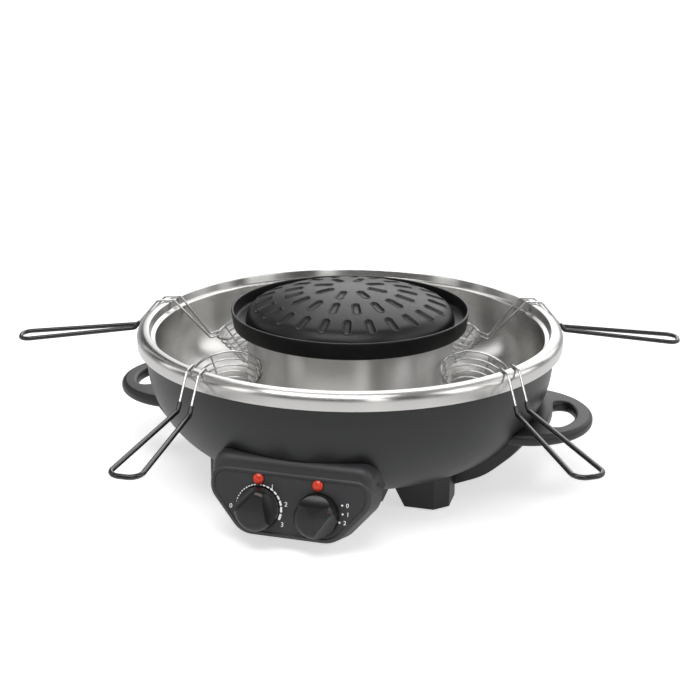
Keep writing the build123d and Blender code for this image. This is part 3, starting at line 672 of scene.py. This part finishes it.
# %% [markdown]
# ## The wire baskets
#
# Each basket is bent and welded from spring wire: a ring, six smaller hoops, two ribs that
# cross at the bottom, and one long wire that starts on the ring, steps over the pot's rim
# and comes back to the ring after a narrow loop for the hand. The loop is dipped in PVC.
# A wire is easiest to draw as its centre line with rounded bends. The line becomes a
# curve, the curve gets the wire's radius, and the result is turned to a mesh.

# %% Basket sizes
BASKET_RING = 32.0
BASKET_FOOT = 18.0
HOOPS = 6
HOOP_STEP = 5.4
RING_TILT = math.radians(20)
RING_REACH = 77.5
RING_DROP = 28.5
RING_WIRE = 1.1             # radius of the wire of the ring and the handle
HOOP_WIRE = 0.8
RIB_WIRE = 0.85
RIB_OUT = 1.2               # the ribs run this far outside the hoops' centre lines
RIB_TOE = (5, 4)            # at the bottom they turn in by this much and sink by this much
ARM_OFFSET = 6.5
ARM_BENDS = [3.0, 6.0, 6.0, 4.0]
HOOK_RADIUS = 194.0
HOOK_HEIGHT = RIM_HEIGHT + 0.1 + RING_WIRE
HOOK_SPAN = (-8.5, 7.0)     # the arm is level from here to here over the rim
ARM_END = (31.0, 26.5)      # where the grip starts: out from the hook, down from the rim
GRIP_HALF_WIDTH = 13.0
GRIP_BENDS = [9.5, 9.5]
GRIP_RADIUS = 2.15
GRIP_START = 8.0            # the coating starts this far up the arms
BASKETS = (                 # name, hook's angle on the rim, skew, the loop's reach and its fall
    ("front_left", 243.1, 28.0, 156.5, 29.5), ("front_right", 329.7, -28.0, 158.5, 29.5),
    ("back_left", 174.3, 28.0, 146.0, 33.0), ("back_right", 36.7, -28.0, 146.0, 33.0))


# %% Wires
def wire_along(line, radius, sides=2):
    """Extrudes one point along the line, makes it a curve and gives it the wire's radius."""
    clear_selection()
    bpy.ops.mesh.primitive_plane_add(size=0.001, location=line[0] * MM)
    obj = bpy.context.object
    apply_place(obj)
    edit_all(obj)
    bpy.ops.mesh.merge(type="CENTER")
    for here, there in zip(line, line[1:]):
        bpy.ops.mesh.extrude_vertices_move(
            TRANSFORM_OT_translate={"value": (there - here) * MM})
    leave_edit()
    bpy.ops.object.convert(target="CURVE")
    obj = bpy.context.object
    obj.data.bevel_depth = radius * MM
    obj.data.bevel_resolution = sides
    obj.data.use_fill_caps = True
    bpy.ops.object.convert(target="MESH")
    return bpy.context.object


def wire_hoop(radius, drop, wire):
    clear_selection()
    bpy.ops.mesh.primitive_torus_add(
        major_radius=radius * MM, minor_radius=wire * MM, major_segments=64, minor_segments=10,
        location=(0, 0, -drop * MM))
    hoop = bpy.context.object
    apply_place(hoop)
    return hoop


# %% Cage of one basket
cage_depth = HOOPS * HOOP_STEP
cage_taper = (BASKET_RING - BASKET_FOOT) / cage_depth
cage_parts = [wire_hoop(BASKET_RING, 0, RING_WIRE)]
for i in range(1, HOOPS + 1):
    drop = i * HOOP_STEP
    cage_parts.append(wire_hoop(BASKET_RING - cage_taper * drop, drop + HOOP_STEP / 4, HOOP_WIRE))
for angle, lower in ((45, 0.0), (135, RIB_WIRE)):
    depth = cage_depth + HOOP_STEP / 4
    foot = BASKET_FOOT + RIB_OUT
    half = [(BASKET_RING + RIB_OUT, 0, 0), (foot, 0, -depth),
            (foot - RIB_TOE[0], 0, -depth - RIB_TOE[1] - lower)]
    rib_line = rounded_path(half + [(-x, y, z) for x, y, z in half[::-1]], [3.0] * 4, 5)
    rib = wire_along(rib_line, RIB_WIRE)
    rib.rotation_euler.z = math.radians(angle)
    apply_place(rib)
    cage_parts.append(rib)
cage_model = join("cage_model", cage_parts)
cage_tilt = Matrix.Rotation(RING_TILT, 4, "Y")
cage_model.matrix_world = Matrix.Translation(
    Vector((-RING_REACH, 0, RIM_HEIGHT - RING_DROP)) * MM) @ cage_tilt
apply_place(cage_model)


# %% Handle wire and grip
def ring_plane_point(out, side, up):
    return Vector((
        -RING_REACH + out * math.cos(RING_TILT) + up * math.sin(RING_TILT), side,
        RIM_HEIGHT - RING_DROP - out * math.sin(RING_TILT) + up * math.cos(RING_TILT)))


def arm_line(side, skew):
    """Corners of one arm, from the ring over the rim to the bend above the grip."""
    y = side * ARM_OFFSET
    shift = y * math.tan(math.radians(skew))
    above = 2 * RING_WIRE + 0.02
    reach = math.sqrt(BASKET_RING ** 2 - ARM_OFFSET ** 2)
    return [
        ring_plane_point(reach - 2, y, above), ring_plane_point(reach + 7, y, above),
        Vector((HOOK_SPAN[0] + shift, y, HOOK_HEIGHT)),
        Vector((HOOK_SPAN[1] + shift, y, HOOK_HEIGHT)),
        Vector((ARM_END[0] + shift, y, RIM_HEIGHT - ARM_END[1]))]


def handle_pieces(skew, reach, fall):
    right, left = arm_line(-1, skew), arm_line(1, skew)
    far = [Vector((reach, side * GRIP_HALF_WIDTH, RIM_HEIGHT - fall)) for side in (-1, 1)]
    bare = rounded_path(right + far + left[::-1], ARM_BENDS + GRIP_BENDS + ARM_BENDS[::-1])
    starts = [arm[-1] + (arm[-2] - arm[-1]).normalized() * GRIP_START for arm in (right, left)]
    coated = rounded_path(
        [starts[0], right[-1]] + far + [left[-1], starts[1]],
        ARM_BENDS[-1:] + GRIP_BENDS + ARM_BENDS[-1:], 10)
    return wire_along(bare, RING_WIRE), wire_along(coated, GRIP_RADIUS, 3)


for name, hook, skew, reach, fall in BASKETS:
    heading = math.radians(hook)
    place = Matrix.Translation(
        Vector((HOOK_RADIUS * math.cos(heading), HOOK_RADIUS * math.sin(heading), 0)) * MM
    ) @ Matrix.Rotation(math.radians(hook + skew), 4, "Z")
    cage = copy_of(cage_model)
    handle, grip = handle_pieces(skew, reach, fall)
    body = "basket_" + name
    for piece, word, slot, finish in (
            (cage, "cage", "basket_wire", wire_chrome),
            (handle, "handle", "basket_wire", wire_chrome),
            (grip, "grip", "grip_coating", grip_pvc)):
        piece.matrix_world = place
        apply_place(piece)
        smooth(piece, 50)
        finish_piece(piece, f"{body}_{word}_wire", body, slot, finish, f"{body}_{word}")
bpy.data.objects.remove(cage_model)

# %% [markdown]
# ## The control panel
#
# The panel is one moulded shell: a flat face with a wide rolled brow above it. Its outline
# is drawn flat, pulled back to its depth, and its front edge is rounded with a bevel. It
# is modelled lying on the ground plane, with the outline seen from above, and one matrix
# then stands it up at its tilt. The knobs, lamps and print use the same matrix, so they
# always sit on the face. The brow is a second block that runs level into the bowl. Both
# are joined, and the bowl's own shape, a hair larger, is taken away where they meet it.

# %% Panel place
PANEL_TILT = math.radians(12)
PANEL_ORIGIN = Vector((0, -195.0, 37.0))
KNOB_SPREAD = 26.0
KNOB_HEIGHT_ON_PANEL = -2.0
LAMPS = (-27.5, 24.5)
LAMP_HEIGHT_ON_PANEL = 23.0
FACE = -0.8                 # the face lies this far behind the panel's front plane

panel_place = Matrix((
    (1, 0, 0, 0),
    (0, math.sin(PANEL_TILT), -math.cos(PANEL_TILT), PANEL_ORIGIN.y * MM),
    (0, math.cos(PANEL_TILT), math.sin(PANEL_TILT), PANEL_ORIGIN.z * MM),
    (0, 0, 0, 1)))


def on_panel(obj, across=0.0, up=0.0, out=0.0, turned=0.0):
    """Stands a piece that was modelled flat on the panel's face."""
    spot = Matrix.Translation(Vector((across, up, out)) * MM)
    obj.matrix_world = panel_place @ spot @ Matrix.Rotation(math.radians(turned), 4, "Z")
    apply_place(obj)
    return obj


# %% Outlines with depth
def outline_face(line, name):
    """Pulls the corners of a flat disc onto a closed line."""
    clear_selection()
    bpy.ops.mesh.primitive_circle_add(vertices=len(line), radius=0.05, fill_type="NGON")
    obj = bpy.context.object
    obj.name = name
    for vertex, point in zip(obj.data.vertices, line):
        vertex.co = point * MM
    return obj


def pull_back(obj, depth):
    """Gives a flat outline its depth."""
    edit_all(obj)
    bpy.ops.mesh.extrude_region_move(TRANSFORM_OT_translate={"value": (0, 0, -depth * MM)})
    leave_edit()
    tidy_mesh(obj)


def round_edges(obj, lies_on_edge, radius, segments):
    """Bevels the edges whose two ends both pass a test."""
    select_only(obj)
    open_edit()
    bpy.ops.mesh.select_mode(type="EDGE")
    bpy.ops.mesh.select_all(action="DESELECT")
    leave_edit()
    for edge in obj.data.edges:
        edge.select = lies_on_edge(*[obj.data.vertices[i].co / MM for i in edge.vertices])
    open_edit()
    bpy.ops.mesh.bevel(offset=radius * MM, segments=segments, profile=0.5)
    bpy.ops.mesh.select_mode(type="FACE")
    bpy.ops.mesh.select_all(action="DESELECT")
    leave_edit()


# %% Panel shell
PANEL_DEPTH = 22.0
SIDE_LEAN = math.tan(math.radians(12))
PANEL_CORNERS = [(70.0, 31.0, 0), (70.0, 8.0, 0), (41.0, -26.0, 0)]   # its right half
PANEL_BENDS = [13.0, 18.0, 22.0]
PANEL_ROUND = 3.4           # radius along the front edge
FACE_BORDER = 0.35          # the rim that is left round the sunk face
FACE_SLOPE = 0.5            # the run of the step down to the face

corners = PANEL_CORNERS + [(-x, y, z) for x, y, z in PANEL_CORNERS[::-1]]
panel_line = rounded_path(
    [corners[-1]] + corners + [corners[0]], PANEL_BENDS + PANEL_BENDS[::-1], 9)[1:-1]
shell = outline_face(panel_line[::-1], "panel_shell")
pull_back(shell, PANEL_DEPTH)
for vertex in shell.data.vertices:
    vertex.co.x += math.copysign(SIDE_LEAN * vertex.co.z, vertex.co.x)
round_edges(shell, lambda a, b: max(abs(a.z), abs(b.z)) < 0.01, PANEL_ROUND, 7)
for face in shell.data.polygons:
    face.select = face.normal.z > 0.999 and abs(face.center.z) < 0.01 * MM
open_edit()
bpy.ops.mesh.inset(thickness=FACE_BORDER * MM, depth=0.0)
bpy.ops.mesh.inset(thickness=FACE_SLOPE * MM, depth=FACE * MM)
leave_edit()
on_panel(shell)

# %% Panel brow
BROW_TOP = 77.0
BROW_FOOT = 45.0
BROW_HALF_WIDTH = 70.8
BROW_SET_BACK = 1.5
BROW_DEPTH = 75.0
BROW_BENDS = [13.0, 13.0]
BROW_ROUND = 7.4
BOWL_GAP = 0.3
WELL_RADIUS = 19.1          # a shallow well in the face that each knob turns in
WELL_DEPTH = 2.2
WELL_CUT = 20.0             # length of the cylinder that cuts it

ends = [(BROW_HALF_WIDTH, BROW_FOOT, 0), (BROW_HALF_WIDTH, BROW_TOP, 0)]
brow_line = rounded_path(ends + [(-x, y, z) for x, y, z in ends[::-1]], BROW_BENDS, 9)
brow = outline_face(brow_line, "brow")
for vertex in brow.data.vertices:
    up = vertex.co.y / MM - PANEL_ORIGIN.z
    behind = (up * math.sin(PANEL_TILT) + BROW_SET_BACK) / math.cos(PANEL_TILT)
    vertex.co.z = -(PANEL_ORIGIN.y + behind) * MM
pull_back(brow, BROW_DEPTH)
round_edges(
    brow, lambda a, b: min(a.z, b.z) > 150 and max(a.y, b.y) > BROW_FOOT + 0.01, BROW_ROUND, 8)
brow.rotation_euler.x = math.pi / 2
apply_place(brow)
combine(shell, brow, "UNION")

bowl_space = turn_profile(bowl_line(BOWL_GAP), sides=BOWL_SIDES, closed=False)
close_ends(bowl_space)
combine(shell, bowl_space, "DIFFERENCE")
for side in (-1, 1):
    well = on_panel(
        add_cylinder(WELL_RADIUS, WELL_CUT), side * KNOB_SPREAD, KNOB_HEIGHT_ON_PANEL,
        WELL_CUT / 2 - WELL_DEPTH)
    combine(shell, well, "DIFFERENCE")
tidy_mesh(shell)
smooth(shell, 38)
finish_piece(shell, "panel_shell", "base", "panel_plastic", panel_plastic, "control_fascia")

# %% [markdown]
# ## The knobs
#
# Each knob is a domed cap with two big scoops, one on each side of a wedge that the
# fingers hold. The wedge is narrow at its pointing end and flares out to the rim behind. A
# scoop is the trace of a round cutter, so a cylinder is laid beside the wedge and taken
# away from the cap.

# %% Knobs
KNOB_RADIUS = 18.2
KNOB_TALL = 15.0
KNOB_SKIRT = 4.6
WEDGE_TIP = 1.4
WEDGE_TAIL = 21.0           # where the wedge's flaring sides would end, past the rim
SCOOP = 15.0                # radius and length of the cylinder that cuts a scoop
SCOOP_CUT = 70.0
KNOB_DOME = 6.0
KNOB_SOFTENING = 0.45       # radius along the edges that the scoops leave
POINTERS = {"left": 75.0, "right": 29.0}    # degrees: where the knobs point at rest


def knob_model():
    cap = turn_profile(rounded(
        [(KNOB_RADIUS - 1.2, 0.1), (KNOB_RADIUS, 0.1), (KNOB_RADIUS - 0.5, KNOB_TALL),
         (0.3, KNOB_TALL + 0.9)], [0.3, KNOB_DOME], 12), sides=96, closed=False)
    close_ends(cap)
    lean = math.atan2(WEDGE_TAIL - WEDGE_TIP, 2 * KNOB_RADIUS)
    rise = KNOB_SKIRT + SCOOP
    away = math.sqrt(SCOOP ** 2 - (KNOB_TALL - rise) ** 2)
    for side in (-1, 1):
        cutter = add_cylinder(SCOOP, SCOOP_CUT)
        middle = (WEDGE_TIP + WEDGE_TAIL) / 2 + away / math.cos(lean)
        cutter.matrix_world = (
            Matrix.Translation(Vector((0, side * middle, rise)) * MM)
            @ Matrix.Rotation(-side * lean, 4, "Z") @ Matrix.Rotation(math.pi / 2, 4, "Y"))
        apply_place(cutter)
        combine(cap, cutter, "DIFFERENCE")
    apply_modifier(
        cap, "BEVEL", width=KNOB_SOFTENING * MM, segments=3, limit_method="ANGLE",
        angle_limit=math.radians(28))
    return cap


knob_master = knob_model()
for side, name in ((-1, "left"), (1, "right")):
    knob = on_panel(
        copy_of(knob_master), side * KNOB_SPREAD, KNOB_HEIGHT_ON_PANEL, 0.0, POINTERS[name])
    smooth(knob, 35)
    body = f"knob_{name}"
    finish_piece(knob, f"{body}_cap", body, "knob_plastic", knob_plastic, body)
bpy.data.objects.remove(knob_master)

# %% [markdown]
# ## Lamps and print
#
# The lamps are small domes of red acrylic with cut facets inside. The dial is printed:
# dots that grow into dashes show how the heat rises. Print is a film of ink, so each mark
# is a very thin solid that stands a few hundredths of a millimetre proud of the face.

# %% Lamps
LENS_RADIUS = 4.5

for across, name in zip(LAMPS, ("left", "right")):
    lens = turn_profile(rounded(
        [(LENS_RADIUS, -5.0), (LENS_RADIUS, 0.6), (2.6, 2.0), (0.2, 2.3)], [1.0, 2.4], 6),
        sides=48, closed=False)
    close_ends(lens)
    on_panel(lens, across, LAMP_HEIGHT_ON_PANEL)
    smooth(lens, 45)
    finish_piece(lens, f"lamp_dome_{name}", "base", "red_lens", lamp_red, f"lamp_lens_{name}")
    low, high = FACE - 0.5, FACE + 0.5
    collar = turn_profile(rounded(
        [(LENS_RADIUS + 0.1, low), (5.6, low), (5.5, high), (LENS_RADIUS + 0.1, high)],
        [0.2, 0.2], 3), sides=48)
    on_panel(collar, across, LAMP_HEIGHT_ON_PANEL)
    smooth(collar, 45)
    finish_piece(collar, f"lamp_collar_{name}", "base", "panel_plastic", handle_plastic)

# %% Print
INK = 0.05
STROKE = 0.06               # the numbers are drawn this much bolder


def printed_mark(width, height, across, up, turned=0.0):
    clear_selection()
    bpy.ops.mesh.primitive_cube_add(size=1)
    mark = bpy.context.object
    mark.scale = Vector((width, height, INK)) * MM
    apply_place(mark)
    edit_all(mark)
    bpy.ops.mesh.bevel(offset=0.3 * min(width, height) * MM, segments=2, affect="EDGES")
    leave_edit()
    return on_panel(mark, across, up, FACE + INK / 2, turned)


def printed_number(text, size, across, up):
    clear_selection()
    bpy.ops.object.text_add()
    number = bpy.context.object
    number.data.body = text
    number.data.size = size * MM
    number.data.align_x = "CENTER"
    number.data.align_y = "CENTER"
    number.data.extrude = INK / 2 * MM
    number.data.offset = STROKE * MM
    bpy.ops.object.convert(target="MESH")
    return on_panel(bpy.context.object, across, up, FACE + INK / 2)


# %% Left dial
DIAL_RADIUS = 20.0
DOTS = 17
DOTS_START, DOTS_END = 207.0, 88.0
DASHES = (                  # angle, length, width
    (79, 2.2, 1.0), (69, 2.6, 1.1), (58, 3.0, 1.2), (46, 3.3, 1.3), (33, 3.7, 1.4),
    (18.5, 4.2, 1.55), (2.5, 4.7, 1.7), (-16, 5.3, 1.9))


def dial_mark(angle, length, width):
    """A mark that lies along the circle round the left knob."""
    at = math.radians(angle)
    return printed_mark(
        length, width, -KNOB_SPREAD + DIAL_RADIUS * math.cos(at),
        KNOB_HEIGHT_ON_PANEL + DIAL_RADIUS * math.sin(at), angle - 90)


left_dial = []
for i in range(DOTS):
    t = i / (DOTS - 1)
    left_dial.append(dial_mark(
        DOTS_START + (DOTS_END - DOTS_START) * t, 0.75 + 1.1 * t, 0.75 + 0.25 * t))
left_dial += [dial_mark(*dash) for dash in DASHES]
for text, across, up in (
        ("0", -50.8, -3.2), ("1", -15.0, 17.2), ("2", -2.2, 3.6), ("3", -4.5, -14.2)):
    left_dial.append(printed_number(text, 5.4, across, up))
dial = join("dial_print_left", left_dial)
finish_piece(dial, "dial_print_left", "base", "panel_plastic", print_with_painted_glow)

# %% Marks of the right knob
right_dial = []
for text, across, up in (("0", 46.6, 8.8), ("1", 47.4, 1.4), ("2", 45.2, -6.0)):
    right_dial.append(printed_mark(1.5, 1.5, across, up))
    right_dial.append(printed_number(text, 5.0, across + 4.4, up))
dial = join("dial_print_right", right_dial)
finish_piece(dial, "dial_print_right", "base", "panel_plastic", print_with_painted_glow)

# %% [markdown]
# ## Mouldings that keep their exact shape
#
# The ear handles, the feet and the panel's neck fit closely round the bowl, so their
# shapes stay as they are in the frame. A loaded part is a heap of loose flat triangles. A
# copy of it has its doubles merged first, then its edges under a set angle are shaded
# smooth, and a weighted normal keeps the large flat faces flat beside the small rounded
# ones. The parts inside the bowl get the same, for they come into view when the pot is out.

# %% Smoothed copies
FINISH_OF = {
    "black_plastic": handle_plastic, "panel_plastic": panel_plastic, "pad_rubber": rubber,
    "plated_sheet": plated_sheet, "heater_steel": heater_steel, "screw_steel": screw_steel,
    "brass": contact_brass, "ceramic": steatite, "glass": bulb_glass, "red_mark": mark_red}


def smoothed_part(node, name, slot, body="base"):
    """A merged and smoothed copy that stands for a loaded part."""
    piece = copy_of(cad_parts[node])
    piece.hide_render = False
    tidy_mesh(piece, 0.005)
    smooth(piece, 35)
    apply_modifier(piece, "WEIGHTED_NORMAL", keep_sharp=True)
    finish_piece(piece, name, body, slot, FINISH_OF[slot], node)


for side in ("left", "right"):
    smoothed_part(f"ear_handle_{side}", f"ear_{side}", "black_plastic")
for place in ("front_left", "front_right", "back_left", "back_right"):
    smoothed_part(f"foot_{place}", f"foot_moulding_{place}", "black_plastic")
smoothed_part("control_housing", "panel_neck", "panel_plastic")
smoothed_part("power_inlet", "inlet_shroud", "black_plastic")
smoothed_part("foot_pads", "rubber_pads", "pad_rubber")
smoothed_part("bottom_plate", "service_plate", "plated_sheet")

# %% Parts inside the bowl and the knobs
for node, name, slot in (
        ("hotpot_element", "trough_heater", "heater_steel"),
        ("grill_element", "grill_heater", "heater_steel"),
        ("hotpot_reflector", "trough_reflector", "plated_sheet"),
        ("grill_reflector", "grill_heater_tray", "plated_sheet"),
        ("grill_element_stand", "grill_heater_stand", "plated_sheet"),
        ("element_brackets", "heater_brackets", "plated_sheet"),
        ("thermal_cutout", "heat_cutout", "brass"),
        ("terminal_block", "wire_block", "ceramic"),
        ("thermostat", "heat_regulator", "plated_sheet"),
        ("selector_switch", "switch_case", "black_plastic"),
        ("inlet_pins", "contact_pins", "brass"),
        ("lamp_bulbs", "neon_bulbs", "glass"),
        ("foot_screws", "feet_screws", "screw_steel"),
        ("ear_screws", "ears_screws", "screw_steel"),
        ("bottom_plate_screws", "plate_screws", "screw_steel")):
    smoothed_part(node, name, slot)
for side in ("left", "right"):
    body = f"knob_{side}"
    smoothed_part(f"{body}_shaft", f"shaft_{side}", "plated_sheet", body)
    smoothed_part(f"{body}_pointer", f"mark_{side}", "red_mark", body)

# %% [markdown]
# ## Floor, background and lights
#
# The cooker stands on a white sweep. The floor takes the diffuse shadow, and a glow that
# only the camera and mirrored rays see lifts it to the same white as the world behind, so
# no extra light is poured over the object for the sake of the background. Polished steel
# has no look of its own: it shows what stands around it. So the studio has a soft grey
# ceiling and a few tall light panels, and the gaps between the panels draw the dark bands
# that make the rim and the column look like metal.

# %% Floor
FLOOR_SIZE = 60.0
FLOOR_DROP = 0.0005         # the floor lies this far under the rubber pads
GLOW_SEEN = (0.62, 1.0)     # the glow near the object and far from it, seen by the camera
GLOW_MIRRORED = (0.42, 0.18)    # the same, seen in polished steel

clear_selection()
bpy.ops.mesh.primitive_plane_add(size=FLOOR_SIZE, location=(0, 0, -FLOOR_DROP))
floor = bpy.context.object
floor.name = "floor"
apply_place(floor)
floor_white, tree = new_material(
    "white studio sheet", Base_Color=colour("#f4f4f4"), Roughness=0.9, Specular_IOR_Level=0.0)
rays = add_node(tree, "LightPath")
place = add_node(tree, "TexCoord")
away = add_node(tree, "VectorMath", {"operation": "LENGTH"}, {0: place.outputs["Object"]})
to_camera = reckon(
    tree, "MULTIPLY", rays.outputs["Is Camera Ray"],
    map_range(tree, away.outputs["Value"], (0.3, 1.5), GLOW_SEEN))
to_metal = reckon(
    tree, "MULTIPLY", rays.outputs["Is Glossy Ray"],
    map_range(tree, away.outputs["Value"], (0.5, 2.2), GLOW_MIRRORED))
glow = add_node(tree, "Emission", inputs={
    "Strength": reckon(tree, "ADD", to_camera, to_metal)})
summed = add_node(tree, "AddShader", inputs={
    0: tree.nodes["Principled BSDF"].outputs[0], 1: glow.outputs[0]})
tree.links.new(summed.outputs[0], tree.nodes["Material Output"].inputs["Surface"])
floor.data.materials.append(floor_white)

# %% World
SOFT_LEVEL = 0.17           # the light that falls on everything from all round
HORIZON_LEVEL = 0.42        # what polished steel mirrors just above the floor
PANEL_LEVELS = (0.05, 2.4)  # the gaps and the light panels that it mirrors higher up
CEILING_LEVEL = 0.38

world = bpy.data.worlds.new("studio")
bpy.context.scene.world = world
world.use_nodes = True
tree = world.node_tree
tree.nodes.clear()
rays = add_node(tree, "LightPath")
view = add_node(tree, "TexCoord")
axes, flat = split_axes(tree, view.outputs["Generated"])
bearing = add_node(tree, "VectorMath", {"operation": "NORMALIZE"}, {0: flat})
around = add_node(tree, "TexNoise", {"noise_dimensions": "4D"}, {
    "Vector": bearing.outputs[0], "W": 5.7, "Scale": 4.5, "Detail": 0.0})
panels = map_range(tree, around.outputs["Fac"], (0.42, 0.58), PANEL_LEVELS, "SMOOTHSTEP")
above = map_range(tree, axes["Z"], (0.05, 0.30), (0.0, 1.0), "SMOOTHSTEP")
overhead = map_range(tree, axes["Z"], (0.55, 0.85), (0.0, 1.0), "SMOOTHSTEP")
walls = add_node(tree, "Mix", {"data_type": "FLOAT"}, {0: above, 2: HORIZON_LEVEL, 3: panels})
level = add_node(tree, "Mix", {"data_type": "FLOAT"}, {
    0: overhead, 2: walls.outputs[0], 3: CEILING_LEVEL})
soft, mirrored, white = [
    add_node(tree, "Background", inputs={"Color": (1, 1, 1, 1), "Strength": strength})
    for strength in (SOFT_LEVEL, level.outputs[0], 1.0)]
in_metal = add_node(tree, "MixShader", inputs={
    0: rays.outputs["Is Glossy Ray"], 1: soft.outputs[0], 2: mirrored.outputs[0]})
seen = reckon(
    tree, "MAXIMUM", rays.outputs["Is Camera Ray"], rays.outputs["Is Transmission Ray"])
both = add_node(tree, "MixShader", inputs={
    0: seen, 1: in_metal.outputs[0], 2: white.outputs[0]})
add_node(tree, "OutputWorld", inputs={"Surface": both.outputs[0]})


# %% Lamps of the studio
def soft_lamp(name, bearing, distance, height, size, power):
    """A rectangular panel of light. Its bearing is counted from the camera's side of the
    object, towards the right."""
    data = bpy.data.lights.new(name, "AREA")
    data.shape = "RECTANGLE"
    data.size, data.size_y = size
    data.energy = power
    lamp = bpy.data.objects.new(name, data)
    bpy.context.scene.collection.objects.link(lamp)
    at = turn + math.radians(bearing)
    lamp.location = (distance * math.sin(at), -distance * math.cos(at), height)
    aim = Vector((0, 0, 0.1)) - lamp.location
    lamp.rotation_euler = aim.to_track_quat("-Z", "Y").to_euler()
    lamp.visible_camera = False


soft_lamp("key", -20, 0.8, 1.9, (1.6, 1.0), 22)
soft_lamp("fill", 60, 1.8, 1.2, (0.7, 1.3), 7)
soft_lamp("back", 180, 1.6, 2.0, (1.6, 0.5), 8)

bpy.context.scene.view_settings.view_transform = "Standard"
